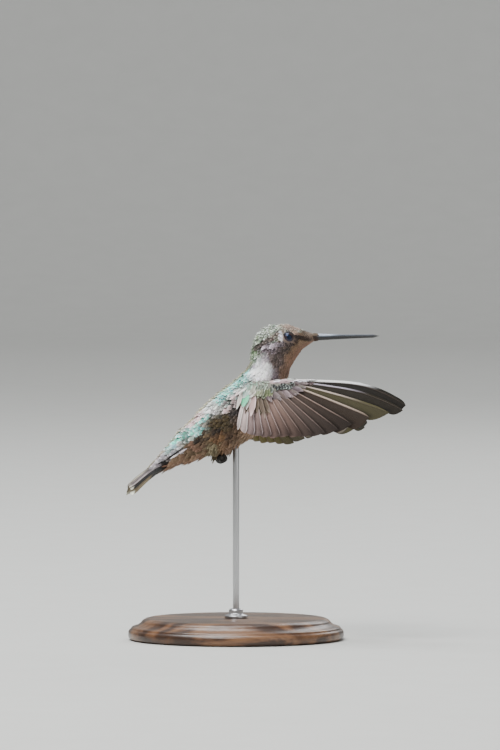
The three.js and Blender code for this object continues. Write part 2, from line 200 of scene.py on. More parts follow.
def eased(profile, radius, steps=4):
    """A profile with each of its corners rounded off."""
    points = [profile[0]]
    for before, corner, after in zip(profile, profile[1:], profile[2:]):
        corner = Vector(corner)
        arms = [Vector(before) - corner, Vector(after) - corner]
        start, end = [corner + arm.normalized() * min(radius, arm.length / 2) for arm in arms]
        for step in range(steps + 1):
            share = step / steps
            inner = (1 - share) ** 2 * start + 2 * share * (1 - share) * corner + share**2 * end
            points.append(tuple(inner))
    points.append(profile[-1])
    return points


def circle(count):
    """Angles that part a full turn evenly."""
    return 2 * math.pi * np.arange(count) / count


def band(low, high, count):
    """Quads between two rings of vertices, given by the first index of each."""
    around = zip(range(count), [*range(1, count), 0])
    return [(low + a, low + b, high + b, high + a) for a, b in around]


def poled(rings, count):
    """Faces from a first pole through closed rings of equal count to a last pole."""
    last = 1 + (rings - 1) * count
    around = list(zip(range(count), [*range(1, count), 0]))
    faces = [(0, 1 + b, 1 + a) for a, b in around]
    for low in range(1, last, count):
        faces += band(low, low + count, count)
    return faces + [(last + a, last + b, last + count) for a, b in around]


def turned(profile, sides):
    """Vertices and faces of a profile of (radius, height) spun about the upright axis."""
    vertices = [(0, 0, profile[0][1])]
    for radius, height in profile[1:-1]:
        vertices += [(radius * math.cos(a), radius * math.sin(a), height) for a in circle(sides)]
    vertices.append((0, 0, profile[-1][1]))
    return vertices, poled(len(profile) - 2, sides)


# How far in from the rim each step of the profile is, and its share of the height.
PLINTH_STEPS = (
    (0, 0.42), (0.0008, 0.52), (0.0009, 0.60), (0.0024, 0.66), (0.0036, 0.80), (0.0038, 0.88),
    (0.0050, 1.0),
)
plinth_profile = [(0, 0), (PLINTH_RADIUS - 0.0012, 0), (PLINTH_RADIUS, 0.0006)]
for inset, share in PLINTH_STEPS:
    plinth_profile.append((PLINTH_RADIUS - inset, PLINTH_HEIGHT * share))
plinth_profile.append((0, PLINTH_HEIGHT))
walnut, place, shader = new_finish("waxed_walnut", Coat_Weight=0.25, Coat_Roughness=0.25)
grain = place.scaled((40, 420, 420)).noise(3.2, 7.0)
figure = place.scaled((14, 60, 60)).noise(1.6)
tone = (figure * 26 + grain * 1.4).sine() * 0.28 + grain * 0.75 + 0.1
stops = [(0.25, WALNUT_DARK), (0.55, WALNUT_MID), (0.85, WALNUT_LIGHT)]
tone.node("ShaderNodeValToRGB", {"stops": stops}, {0: tone}).feed(shader, "Base Color")
pore = place.scaled((300, 5200, 5200)).noise(1.0).step(0.58, 0.7)
(0.34 + pore * 0.25).feed(shader, "Roughness")
bump(1 - pore * 0.6 + grain * 0.3, shader, 0.3, 0.0002)
plinth = new_piece(
    "stand_plinth", *turned(eased(plinth_profile, 0.0007), PLINTH_SIDES), walnut, 0.6
)
fix(plinth, "stand_wood", "stand_base")

# Collar and rod: a turned steel collar with a knurled waist, and a straight steel rod brushed
# along its length. The rod goes up through the belly feathers into the skin.
collar_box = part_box("stand_collar")
rod_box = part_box("stand_rod")
COLLAR_RADIUS = collar_box[1].x
COLLAR_FOOT = collar_box[0].z
COLLAR_TOP = collar_box[1].z
ROD_RADIUS = rod_box[1].x
ROD_RISE = 0.0016
STEEL = (0.60, 0.60, 0.61, 1)
STEEL_DARK = (0.46, 0.46, 0.48, 1)
KNURLS = 48
KNURL_PULL = 0.95
KNURLED = (0.48, 0.8)
# Each step of the collar's profile as shares of its radius and its rise.
COLLAR_STEPS = ((1.0, 0.22), (0.86, 0.30), (0.62, 0.42), (0.62, 0.86), (0.50, 1.0))
# How far collar and rod go into what holds them.
COLLAR_SINK = 0.0002
ROD_SINK = 0.0008


def brushed(name, scale):
    """Bare steel with fine lines that run along the long way of the scale."""
    material, place, shader = new_finish(name, Metallic=1.0)
    line = place.scaled(scale).noise(1.0, 3.0)
    line.blend(STEEL_DARK, STEEL).feed(shader, "Base Color")
    (0.2 + line * 0.16 + place.noise(190.0) * 0.08).feed(shader, "Roughness")
    bump(line, shader, 0.25, 0.00005)
    return material


collar_rise = COLLAR_TOP - COLLAR_FOOT
collar_profile = [(0, COLLAR_FOOT - COLLAR_SINK), (COLLAR_RADIUS, COLLAR_FOOT - COLLAR_SINK)]
for reach, share in COLLAR_STEPS:
    collar_profile.append((COLLAR_RADIUS * reach, COLLAR_FOOT + collar_rise * share))
collar_profile.append((0, COLLAR_TOP))
vertices, faces = turned(eased(collar_profile, 0.00018), KNURLS * 2)
knurled = []
for index, (x, y, z) in enumerate(vertices):
    waist = KNURLED[0] < (z - COLLAR_FOOT) / collar_rise < KNURLED[1]
    pull = KNURL_PULL if waist and index % 2 else 1.0
    knurled.append((x * pull, y * pull, z))
collar_steel = brushed("turned_steel", (300, 300, 9000))
collar = new_piece("stand_collar_turned", knurled, faces, collar_steel, 0.5)
fix(collar, "stand_metal", "stand_collar")

rod_foot = rod_box[0].z - ROD_SINK
rod_top = rod_box[1].z + ROD_RISE
rod_profile = [(0, rod_foot), (ROD_RADIUS, rod_foot), (ROD_RADIUS, rod_top), (0, rod_top)]
rod_steel = brushed("drawn_steel", (9000, 9000, 160))
rod = new_piece("stand_rod_drawn", *turned(eased(rod_profile, 0.0002), 32), rod_steel, 0.6)
fix(rod, "stand_metal", "stand_rod")

# Skin: the bare bird, from the root of the bill to the root of the tail, with the flesh of the
# wings and the thighs. It is one closed piece that lies under the plumage by its depth.
MM = 0.001
TRUNK_HEIGHT = 60.0
YAW = math.radians(6.4)
BANK = math.radians(-5.7)
SIDES = {"right": -1, "left": 1}

# Sections across the body, from the bill to the ends of the tail coverts: the back line's x and
# z, the belly line's x and z, the half width, and how deep the plumage is on back and belly.
BODY = {
    "bill_root": (22.1, 25.3, 22.1, 22.8, 1.15, 0.10, 0.10),
    "lores": (20.0, 25.9, 20.7, 21.8, 2.0, 0.20, 0.22),
    "forehead": (17.8, 26.8, 18.9, 20.5, 3.1, 0.30, 0.30),
    "eyes": (14.2, 27.8, 17.3, 18.4, 4.5, 0.36, 0.36),
    "crown": (9.2, 27.4, 15.6, 15.6, 5.4, 0.45, 0.42),
    "hind_crown": (5.9, 24.7, 14.9, 13.1, 5.5, 0.52, 0.50),
    "nape": (4.5, 21.1, 14.5, 11.4, 5.0, 0.60, 0.60),
    "neck": (3.7, 17.2, 14.4, 9.7, 5.2, 0.70, 0.70),
    "shoulders": (0.9, 13.9, 13.9, 6.7, 6.3, 0.80, 0.85),
    "breast": (-3.1, 10.6, 11.9, 2.5, 7.1, 0.85, 0.95),
    "keel": (-6.7, 7.8, 8.6, -1.7, 7.3, 0.85, 1.00),
    "belly": (-10.0, 4.7, 3.9, -4.7, 7.0, 0.85, 1.00),
    "loin": (-12.8, 1.7, 0.0, -7.0, 6.2, 0.85, 1.00),
    "vent": (-15.6, -0.8, -5.8, -8.8, 5.1, 0.95, 1.00),
    "rump": (-18.3, -3.9, -10.6, -10.4, 4.1, 1.00, 1.00),
    "tail_coverts": (-21.1, -7.2, -15.0, -11.4, 3.5, 1.00, 0.90),
    "covert_ends": (-23.9, -10.3, -19.7, -13.0, 3.0, 1.00, 1.00),
}
LAST_SECTION = len(BODY) - 1
BODY_RINGS = 150
RING_POINTS = 72

SHOULDER = (7.2, 6.6, 10.0)
SPAN_FORWARD = math.radians(47.1)
SPAN_DROOP = math.radians(8.85)
WING_PITCH = math.radians(15)
SHOULDER_BEND = 1.5
CAMBER = 1.3
CHORD_LENGTH = 17.0
TIP_BEND = 1.6
WING_LENGTH = 50.0

# The arm under its coverts: span, front edge, covert edge and thickness.
ARM_SPANS = (-5.6, -3.0, 0.0, 2.5, 4.8, 6.2, 10.0, 14.0, 18.6)
ARM_FRONTS = (-0.4, -1.2, -1.7, -1.9, -2.4, -2.8, -3.3, -3.7, -4.1)
ARM_EDGES = (7.9, 8.3, 7.9, 7.4, 7.0, 3.1, 1.4, -1.0, -3.7)
ARM_DEPTHS = (1.6, 2.8, 3.4, 3.0, 2.3, 1.9, 1.4, 1.1, 0.6)
# The flesh of the arm within it: its share of the chord and of the depth, how far it stays back
# from the front edge and from the outer face, how thin it gets, and from where to where it goes.
FLESH_SHARE = 0.55
FLESH_DEPTH = 0.72
FLESH_INSET = 0.35
FLESH_THINNING = 0.25
FLESH_LEAST = 0.5
FLESH_START = -4.2
FLESH_END = 14.5
FLESH_RINGS = 40

HIP = np.array([-2.9, 2.2, -6.6])
PALM = np.array([-4.2, 2.0, -9.55])
# The thigh: from and to as shares of the way from hip to palm, and its radii there.
THIGH_REACH = (-0.5, 0.7)
THIGH_RADII = (1.3, 0.3)
THIGH_RINGS = 8
THIGH_SIDES = 16
SKIN_VOXEL = 0.24 * MM
SKIN_SMOOTHING = 6


def unit(vectors):
    return vectors / np.linalg.norm(vectors, axis=-1)[..., None]


def arm_at(span, values):
    """A measure of the arm, read at any span."""
    return np.interp(span, ARM_SPANS, values)


def flesh_depth(span):
    return np.maximum(arm_at(span, ARM_DEPTHS) * FLESH_DEPTH - FLESH_THINNING, FLESH_LEAST)


def to_world(points):
    """Points of the bird in its own millimetres, turned and lifted to their place in metres."""
    x, y, z = np.asarray(points, float).T
    banked_y = y * math.cos(BANK) - z * math.sin(BANK)
    banked_z = y * math.sin(BANK) + z * math.cos(BANK)
    turned_x = x * math.cos(YAW) - banked_y * math.sin(YAW)
    turned_y = x * math.sin(YAW) + banked_y * math.cos(YAW)
    return np.stack([turned_x, turned_y, banked_z + TRUNK_HEIGHT], -1) * MM


def to_heading(vectors):
    """Directions of the bird, turned to their heading in the model."""
    return (to_world(vectors) - to_world([[0, 0, 0]])) / MM


def to_bird(points):
    """The way back from metres in the model to the bird's own millimetres."""
    x, y, z = (np.asarray(points, float) / MM - (0, 0, TRUNK_HEIGHT)).T
    bird_x = x * math.cos(YAW) + y * math.sin(YAW)
    level_y = -x * math.sin(YAW) + y * math.cos(YAW)
    bird_y = level_y * math.cos(BANK) + z * math.sin(BANK)
    bird_z = -level_y * math.sin(BANK) + z * math.cos(BANK)
    return np.stack([bird_x, bird_y, bird_z], -1)


def smooth_field(values, place):
    """A smooth curve through values at 0, 1, 2 and so on, read at any place."""
    values = np.asarray(values, float)
    padded = np.concatenate([[2 * values[0] - values[1]], values, [2 * values[-1] - values[-2]]])
    index = np.clip(np.floor(place).astype(int), 0, len(values) - 2)
    share = place - index
    p0, p1, p2, p3 = (padded[index + offset] for offset in range(4))
    start, end = (p2 - p0) / 2, (p3 - p1) / 2
    square = (3 * (p2 - p1) - 2 * start - end) * share**2
    cube = (2 * (p1 - p2) + start + end) * share**3
    return p1 + start * share + square + cube


def body_point(place, angle, depth_share=1.0):
    """Where the body's surface is at a place along it and an angle from the back line.

    A depth share of 1 gives the skin and 0 the outer face of the plumage."""
    place, angle = np.broadcast_arrays(np.asarray(place, float), np.asarray(angle, float))
    columns = [smooth_field(column, place) for column in zip(*BODY.values())]
    back_x, back_z, belly_x, belly_z, half_width, back_depth, belly_depth = columns
    underside = (1 - np.cos(angle)) / 2
    depth = (back_depth * (1 - underside) + belly_depth * underside) * depth_share
    rise_x, rise_z = (back_x - belly_x) / 2, (back_z - belly_z) / 2
    half_depth = np.hypot(rise_x, rise_z)
    reach = (half_depth - depth) / half_depth * np.cos(angle)
    x = (back_x + belly_x) / 2 + rise_x * reach
    z = (back_z + belly_z) / 2 + rise_z * reach
    y = (half_width - depth) * np.sin(angle)
    return np.stack([x, y, z], -1)


def wing_axes():
    """The left wing's unit directions of span, chord and upper side."""
    level = np.array([math.sin(SPAN_FORWARD), math.cos(SPAN_FORWARD), 0])
    span = level * math.cos(SPAN_DROOP) - (0, 0, math.sin(SPAN_DROOP))
    plumb = -level * math.sin(SPAN_DROOP) - (0, 0, math.cos(SPAN_DROOP))
    outward = np.array([-math.cos(SPAN_FORWARD), math.sin(SPAN_FORWARD), 0])
    chord = plumb * math.cos(WING_PITCH) + outward * math.sin(WING_PITCH)
    return span, chord, np.cross(span, chord)


SPAN_AXIS, CHORD_AXIS, UPPER_AXIS = wing_axes()


def wing_point(side, points):
    """Points of a wing given by span, chord and height, as points of the bird."""
    span, chord, height = np.asarray(points, float).T
    along = np.clip(chord / CHORD_LENGTH + 0.25, 0, 1)
    tip_share = np.maximum(span, 0) / WING_LENGTH
    lift = height + CAMBER * 4 * along * (1 - along) * (1 - tip_share) + TIP_BEND * tip_share**2
    outward = SHOULDER_BEND * np.log1p(np.exp(span / SHOULDER_BEND))
    reach = np.stack([span, outward, span], -1) * SPAN_AXIS
    made = SHOULDER + reach + chord[:, None] * CHORD_AXIS + lift[:, None] * UPPER_AXIS
    return made * (1, side, 1)


def arm_height(span, chord):
    """How far the arm's outer face stands off the wing's middle plane."""
    front = arm_at(span, ARM_FRONTS)
    edge = arm_at(span, ARM_EDGES)
    depth = arm_at(span, ARM_DEPTHS)
    share = np.clip((chord - front) / (edge - front), 0, 1)
    return depth / 2 * (1 - 0.55 * share**2) * np.sqrt(1 - (2 * share - 1) ** 2)


def ring_faces(rings, count):
    """Faces that skin closed rings of equal count, with a flat cap at each end."""
    last = (rings - 1) * count
    faces = []
    for low in range(0, last, count):
        faces += band(low, low + count, count)
    return faces + [tuple(reversed(range(count))), tuple(range(last, last + count))]


def enclosed(vertices, faces):
    """Six times the volume in a closed shell, negative where its faces point inwards."""
    corners = [(face[0], *pair) for face in faces for pair in zip(face[1:], face[2:])]
    first, second, third = np.asarray(vertices)[np.array(corners).T]
    return (first * np.cross(second, third)).sum()


def facing_out(vertices, faces):
    """The faces, turned round if the closed shell that they make is inside out."""
    outwards = enclosed(vertices, faces) > 0
    return faces if outwards else [tuple(reversed(face)) for face in faces]


def tube(path, radii, sides):
    """A tapering tube round a path of points, closed at both ends."""
    path = np.asarray(path, float)
    along = unit(np.gradient(path, axis=0))
    across = unit(np.cross(along, (0.0, 1.0, 0.02)))[:, None]
    other = np.cross(along, across[:, 0])[:, None]
    turn = circle(sides)[:, None]
    around = across * np.cos(turn) + other * np.sin(turn)
    vertices = (path[:, None] + np.asarray(radii)[:, None, None] * around).reshape(-1, 3)
    return vertices, facing_out(vertices, ring_faces(len(path), sides))


def crossed(first, second):
    """Every pair of two lists of values, as two flat arrays."""
    first, second = np.meshgrid(first, second, indexing="ij")
    return first.ravel(), second.ravel()


def skin_parts():
    """The closed shells that grow together into the skin."""
    place, angle = crossed(np.linspace(0, LAST_SECTION, BODY_RINGS), circle(RING_POINTS))
    trunk = body_point(place, angle)
    yield trunk, facing_out(trunk, ring_faces(BODY_RINGS, RING_POINTS))
    spans = np.linspace(FLESH_START, FLESH_END, FLESH_RINGS)
    span, turn = crossed(spans, circle(RING_POINTS // 3))
    front = arm_at(span, ARM_FRONTS) + FLESH_INSET
    half = (arm_at(span, ARM_EDGES) - front) * FLESH_SHARE / 2
    chord = front + half - half * np.cos(turn)
    flesh = np.column_stack([span, chord, flesh_depth(span) / 2 * np.sin(turn)])
    thigh = HIP + (PALM - HIP) * np.linspace(*THIGH_REACH, THIGH_RINGS)[:, None]
    for side in SIDES.values():
        arm = wing_point(side, flesh)
        yield arm, facing_out(arm, ring_faces(FLESH_RINGS, RING_POINTS // 3))
        yield tube(thigh * (1, side, 1), np.linspace(*THIGH_RADII, THIGH_RINGS), THIGH_SIDES)


def gathered(parts):
    """Shells as one list of vertices in the model and one list of faces."""
    vertices, faces = [], []
    for points, part_faces in parts:
        faces += [tuple(len(vertices) + index for index in face) for face in part_faces]
        vertices += list(to_world(points))
    return vertices, faces


def grown_together(parts, voxel, smoothing):
    """One closed mesh from overlapping shells, with the joins between them smoothed."""
    rough = new_piece("rough", *gathered(parts), None)
    rough.data.materials.clear()
    remesh = rough.modifiers.new("remesh", "REMESH")
    remesh.mode = "VOXEL"
    remesh.voxel_size = voxel
    smooth = rough.modifiers.new("smooth", "SMOOTH")
    smooth.iterations = smoothing
    return plain(rough)


def plain(rough):
    """The evaluated mesh of an object, which is removed with its modifiers."""
    graph = bpy.context.evaluated_depsgraph_get()
    made = bpy.data.meshes.new_from_object(
        rough.evaluated_get(graph), preserve_all_data_layers=True, depsgraph=graph
    )
    bpy.data.objects.remove(rough)
    return made


skin_mesh = grown_together(skin_parts(), SKIN_VOXEL, SKIN_SMOOTHING)
skin_mesh.shade_smooth()


# The view softens contrast, so every painted colour is deepened by a power of its own brightness.
DEEPENING = 0.32


def tinted(red, green, blue):
    """A colour given in screen values, as the shaders count it."""
    screen = np.array([red, green, blue]) / 255
    light = np.where(screen <= 0.04045, screen / 12.92, ((screen + 0.055) / 1.055) ** 2.4)
    return light * max(light.mean(), 0.001) ** DEEPENING


# How far down the side the green of the back comes, in degrees from the back line.
GREEN_EDGE = (50, 52, 56, 60, 72, 84, 74, 56, 58, 66, 76, 72, 82, 77, 77, 86, 88)
GREEN_SOFTNESS = 7.0
# How uneven the tints are where nothing else is said, and how far out a streak is at its full.
MOTTLE = 0.13
STREAK_SIDE = 1.5


class Markings:
    """The plumage's colours at points of the bird: middle tint, edge, gloss and unevenness."""

    def __init__(self, points, place, angle):
        self.points = np.abs(points * (0, 1, 0)) + points * (1, 0, 1)
        self.place = place
        self.degrees = np.degrees(np.abs((angle + math.pi) % (2 * math.pi) - math.pi))
        self.tint = np.tile(tinted(158, 128, 100), (len(points), 1))
        self.edge = np.tile(tinted(184, 154, 126), (len(points), 1))
        self.gloss = np.zeros(len(points))
        self.mottle = np.full(len(points), MOTTLE)

    def wash(self, share, tint, edge, gloss=0.0, mottle=MOTTLE):
        share = np.clip(share, 0, 1)
        self.tint += (tinted(*tint) - self.tint) * share[:, None]
        self.edge += (tinted(*edge) - self.edge) * share[:, None]
        self.gloss += (gloss - self.gloss) * share
        self.mottle += (mottle - self.mottle) * share

    def mark(self, start, end, width, strength, *look):
        """A soft line along the side between two points by x and z, or, where the width is 0,
        a soft patch, the same on both sides, by its centre and radii."""
        if width:
            start, end = np.array(start), np.array(end)
            flat = self.points[:, [0, 2]]
            share = np.clip((flat - start) @ (end - start) / ((end - start) @ (end - start)), 0, 1)
            gap = np.linalg.norm(flat - start - share[:, None] * (end - start), axis=1) / width
            strength = strength * np.clip(self.points[:, 1] / STREAK_SIDE, 0, 1)
        else:
            gap = np.linalg.norm((self.points - start) / end, axis=1)
        self.wash(faded(gap, 0.6, 1.3) * strength, *look)

    def drift(self, pitch, phase):
        """A slow wandering value between 0 and 1."""
        x, y, z = (self.points / pitch).T
        waves = np.sin(x * 2.1 + phase) + np.sin(y * 2.7 + z * 1.9 + phase * 1.7)
        waves += np.sin(z * 2.3 - x * 1.1 + phase * 2.9) + np.sin(x * 3.7 + y * 3.1 - phase)
        return np.clip(0.5 + waves / 5, 0, 1)


def faded(value, inner, outer):
    """1 up to the inner value and 0 past the outer one, with a smooth fall between."""
    share = np.clip((outer - value) / (outer - inner), 0, 1)
    return share * share * (3 - 2 * share)


# Streaks of the back and rump, painted in turn: pale, rosy and glossy teal ones, each kind with
# its strength and look, and each streak from one end to the other by x and z, and its width.
# The pale streaks are painted highlights on the glossy back, and the teal ones are its own green
# hue brightened by painted sheen.
BACK_STREAKS = (
    (0.88, ((218, 222, 220), (254, 255, 254), 0.12, 0.4), (
        ((-7.0, 5.4), (-10.4, 2.4), 1.3), ((-4.6, 4.4), (-7.0, 2.9), 0.8),
        ((-14.0, 0.4), (-16.8, -2.8), 0.7), ((0.2, 8.9), (-1.4, 7.2), 0.7),
    )),
    (0.95, ((234, 198, 200), (255, 244, 244), 0.0, 0.22), (
        ((-10.8, 2.6), (-13.4, -0.5), 1.3), ((-0.8, 4.8), (-3.8, 3.1), 0.7),
        ((-1.6, 6.6), (0.4, 7.9), 0.6),
    )),
    (0.88, ((124, 220, 206), (222, 254, 248), 0.38, 0.4), (
        ((3.9, 13.4), (-0.5, 10.3), 1.2), ((-2.4, 8.7), (-5.5, 5.9), 1.1),
        ((-8.6, 1.2), (-10.8, -0.5), 0.7), ((-10.3, -1.6), (-13.0, -3.3), 0.8),
        ((-12.8, -2.2), (-17.4, -5.5), 1.0), ((-17.2, -5.2), (-20.8, -9.4), 1.0),
    )),
)
# Marks painted over each other in turn: a streak's ends by x and z and its width, or a patch's
# centre and radii and 0, then strength, tint, edge, and gloss and unevenness where they differ.
MANTLE_MARKS = (
    ((3.3, 12.0), (0.2, 9.9), 0.42, 0.75, (88, 120, 110), (168, 204, 192), 0.3, 0.4),
    ((1.8, 12.9), (-0.6, 11.3), 0.36, 0.65, (96, 120, 108), (170, 202, 188), 0.3, 0.4),
)
SHOULDER_MARKS = (
    ((0.2, 6.4), (-2.0, 4.6), 1.1, 0.8, (96, 86, 84), (168, 156, 152), 0.0, 0.45),
    ((-3.6, 4.4), (-6.6, 2.4), 0.9, 0.7, (128, 122, 114), (196, 190, 184), 0.0, 0.4),
)
HEAD_MARKS = (
    ((5.6, 2.5, 23.2), (1.9, 3.6, 2.6), 0, 1.0, (142, 160, 134), (232, 240, 224), 0.25, 0.5),
    ((4.9, 3.0, 19.5), (1.5, 3.6, 1.4), 0, 1.0, (92, 116, 80), (196, 214, 184), 0.3, 0.42),
    ((4.1, 3.0, 17.5), (1.5, 3.6, 1.2), 0, 1.0, (152, 184, 146), (238, 250, 230), 0.2, 0.22),
    ((15.6, 1.5, 26.8), (3.4, 3.4, 1.5), 0, 1.0, (158, 134, 120), (226, 206, 190), 0.0, 0.24),
    ((19.6, 1.2, 25.0), (2.6, 1.8, 1.2), 0, 1.0, (98, 82, 68), (158, 138, 116), 0.0, 0.4),
    ((14.5, 3.6, 23.5), (2.5, 3.0, 2.3), 0, 1.0, (98, 80, 70), (156, 136, 124), 0.0, 0.45),
    ((17.1, 2.6, 24.0), (0.9, 3.0, 1.0), 0, 1.0, (84, 62, 50), (136, 110, 94), 0.0, 0.4),
    ((16.9, 23.9), (22.8, 23.2), 0.7, 0.9, (48, 34, 28), (92, 70, 58), 0.0, 0.5),
    # Partly painted shade: the dusky patch down the middle of the neck side, over its own mottled
    # grey.
    ((10.6, 4.8, 16.8), (2.9, 3.6, 3.9), 0, 1.0, (104, 88, 84), (148, 130, 126), 0.0, 0.38),
    ((12.8, 4.6, 20.7), (2.4, 2.6, 2.0), 0, 1.0, (86, 72, 66), (122, 106, 100), 0.0, 0.45),
    ((8.4, 5.2, 20.5), (3.2, 3.4, 1.9), 0, 1.0, (98, 84, 90), (168, 152, 162), 0.0, 0.42),
    # Partly painted shade: the darker mauve low on the neck side, over its own mauve.
    ((10.3, 4.8, 12.8), (1.9, 3.4, 2.2), 0, 1.0, (122, 106, 112), (156, 138, 146), 0.0, 0.2),
    # Painted shade: a darker, redder patch low on the throat.
    ((13.4, 3.4, 13.6), (1.9, 3.2, 2.6), 0, 0.8, (148, 116, 98), (168, 134, 114)),
    ((12.6, 25.6), (9.4, 23.3), 0.7, 0.85, (96, 76, 68), (164, 142, 134), 0.0, 0.55),
    ((9.6, 23.3), (5.2, 20.6), 0.65, 0.9, (74, 56, 52), (146, 126, 120), 0.0, 0.5),
    ((10.8, 21.4), (7.0, 20.5), 0.5, 0.85, (178, 162, 174), (234, 222, 234), 0.0, 0.3),
    ((6.0, 5.4, 14.3), (3.7, 3.6, 3.5), 0, 1.0, (250, 248, 254), (255, 254, 255), 0.0, 0.04),
    ((7.4, 5.0, 17.6), (1.6, 2.6, 1.4), 0, 0.8, (176, 162, 174), (224, 214, 224)),
    ((12.2, 4.6, 23.8), (0.62, 1.8, 1.7), 0, 1.0, (232, 230, 240), (254, 254, 255), 0.0, 0.3),
    ((12.3, 4.8, 21.7), (1.4, 1.6, 0.9), 0, 1.0, (94, 82, 88), (170, 158, 170), 0.0, 0.55),
    ((14.2, 4.4, 21.6), (1.9, 1.8, 0.6), 0, 1.0, (56, 44, 40), (108, 92, 90), 0.0, 0.5),
    ((16.5, 3.6, 22.8), (0.7, 1.8, 1.1), 0, 1.0, (74, 58, 50), (132, 110, 98), 0.0, 0.5),
    ((16.1, 3.6, 25.1), (1.5, 1.6, 0.7), 0, 1.0, (180, 150, 134), (220, 194, 176), 0.0, 0.3),
)
BELLY_MARKS = (
    # Partly painted shadow: the dark olive-brown flank under the wing, over its own dusky colour.
    ((0.0, 1.6), (-7.0, -0.9), 2.3, 1.0, (86, 70, 44), (122, 104, 68), 0.0, 0.32),
    ((-0.9, 5.4, 0.2), (1.5, 3.4, 1.6), 0, 0.8, (112, 94, 86), (158, 140, 132), 0.0, 0.4),
    ((0.9, 3.4), (-2.0, 2.6), 1.1, 1.0, (64, 54, 52), (124, 112, 108), 0.0, 0.4),
    ((-2.8, 5.4, -4.3), (1.9, 3.4, 1.8), 0, 1.0, (100, 74, 56), (136, 108, 88), 0.0, 0.25),
    ((-5.5, 5.8, -4.2), (2.0, 3.4, 2.3), 0, 1.0, (130, 94, 62), (154, 114, 82), 0.0, 0.2),
    ((-11.9, 3.4, -6.2), (2.7, 4.0, 1.5), 0, 1.0, (138, 102, 82), (168, 132, 110)),
    ((-5.8, -2.6), (-12.0, -4.8), 0.8, 1.0, (70, 52, 38), (120, 98, 76), 0.0, 0.4),
    ((-22.0, -11.4), (-23.8, -12.8), 0.8, 1.0, (150, 142, 146), (206, 198, 204), 0.0, 0.1),
    # Painted shadow: a thin dark line along the gap between the rump coverts and the undertail
    # coverts.
    ((-20.0, -11.0), (-23.2, -13.3), 0.35, 1.0, (44, 36, 36), (84, 70, 68), 0.0, 0.2),
    ((-9.2, 4.5, -0.9), (1.2, 3.0, 0.9), 0, 1.0, (146, 140, 130), (190, 184, 174), 0.0, 0.3),
    ((-9.4, 4.5, -3.4), (1.5, 3.4, 0.9), 0, 1.0, (98, 78, 56), (140, 118, 88), 0.0, 0.4),
    ((-0.4, 5.4, -2.2), (1.3, 3.4, 2.6), 0, 1.0, (96, 70, 50), (128, 100, 78), 0.0, 0.25),
    ((-17.6, 3.0, -7.6), (2.2, 2.6, 0.9), 0, 1.0, (186, 184, 190), (236, 236, 242), 0.1, 0.3),
    ((3.2, 3.8, -3.0), (3.7, 4.6, 2.5), 0, 0.8, (176, 142, 114), (206, 174, 146)),
    ((-7.8, 2.2, -7.3), (2.0, 3.6, 2.5), 0, 1.0, (148, 130, 100), (178, 162, 132)),
)


def marked(points, place, angle):
    """All the markings of the body, painted over each other in turn."""
    made = Markings(points, place, angle)
    under = faded(-made.degrees, -150, -105)
    # Partly painted light: the throat's pinkish brown is its own pale buff, darkened by painted
    # shade under the head and warmed by a painted reflection.
    made.wash(under * faded(made.place, 7.6, 9.2), (170, 128, 106), (190, 148, 124))
    made.wash(under * faded(-made.place, -12.4, -11.4), (158, 122, 98), (188, 152, 128))
    flank = faded(np.abs(made.degrees - 95) / 40, 0.5, 1.2)
    made.wash(flank * faded(np.abs(made.place - 11), 2.6, 4), (112, 88, 62), (140, 116, 88))

    green = faded(made.degrees - smooth_field(GREEN_EDGE, place), -GREEN_SOFTNESS, GREEN_SOFTNESS)
    made.wash(green, (112, 126, 118), (232, 236, 230), 0.3, 0.46)
    lateral = green * faded(np.abs(made.degrees - 52) / 30, 0.3, 1.3) * faded(-made.place, -8, -7)
    teal = faded(-made.drift(1.1, 0.4), -0.62, -0.42) * faded(made.place, 13.6, 14.8)
    # Painted sheen: the teal wash along the side of the back is its own green hue brightened where
    # light catches it.
    made.wash(lateral * teal * 0.8, (108, 188, 176), (196, 230, 220), 0.55, 0.26)
    rosy = faded(made.drift(0.9, 2.3), 0.30, 0.46)
    made.wash(lateral * rosy * 0.8, (170, 156, 152), (218, 204, 200), 0.1, 0.26)
    for strength, look, streaks in BACK_STREAKS:
        for streak in streaks:
            made.mark(*streak, strength, *look)
    for mark in MANTLE_MARKS:
        made.mark(*mark)
    made.wash(green * faded(-made.place, -15.4, -14.4), (166, 158, 164), (222, 216, 220), 0.1, 0.15)
    made.wash(green * faded(made.degrees, 10, 25) * 0.8, (160, 154, 120), (222, 214, 178), 0.3)
    for mark in SHOULDER_MARKS:
        made.mark(*mark)
    made.wash(green * faded(made.place, 6.0, 7.0), (138, 150, 130), (246, 250, 240), 0.3, 0.42)
    for mark in HEAD_MARKS + BELLY_MARKS:
        made.mark(*mark)
    return made


def add_attribute(mesh, name, kind, values, domain="POINT"):
    """Stores one value for each vertex or corner of a mesh."""
    field = {"FLOAT_COLOR": "color", "FLOAT": "value", "INT": "value"}.get(kind, "vector")
    attribute = mesh.attributes.new(name, kind, domain)
    attribute.data.foreach_set(field, np.asarray(values).ravel())


def with_alpha(colours):
    return np.concatenate([colours, np.ones((len(colours), 1))], axis=1).astype(np.float32)


def vertex_points(mesh):
    points = np.zeros(len(mesh.vertices) * 3, np.float32)
    mesh.vertices.foreach_get("co", points)
    return points.reshape(-1, 3).astype(float)


grid_place, grid_angle = crossed(np.linspace(0, LAST_SECTION, 200), circle(72))
grid_points = body_point(grid_place, grid_angle)
body_tree = KDTree(len(grid_points))
for index, point in enumerate(grid_points):
    body_tree.insert(point, index)
body_tree.balance()

skin_points = to_bird(vertex_points(skin_mesh))
nearest = [body_tree.find(point) for point in skin_points]
nearest_index = np.array([found[1] for found in nearest])
off_body = faded(-np.array([found[2] for found in nearest]), -1.4, -0.7)
skin_marks = marked(skin_points, grid_place[nearest_index], grid_angle[nearest_index])
skin_marks.wash(off_body, (124, 128, 116), (160, 164, 152))
add_attribute(skin_mesh, "tint", "FLOAT_COLOR", with_alpha(skin_marks.tint))
add_attribute(skin_mesh, "edge", "FLOAT_COLOR", with_alpha(skin_marks.edge))

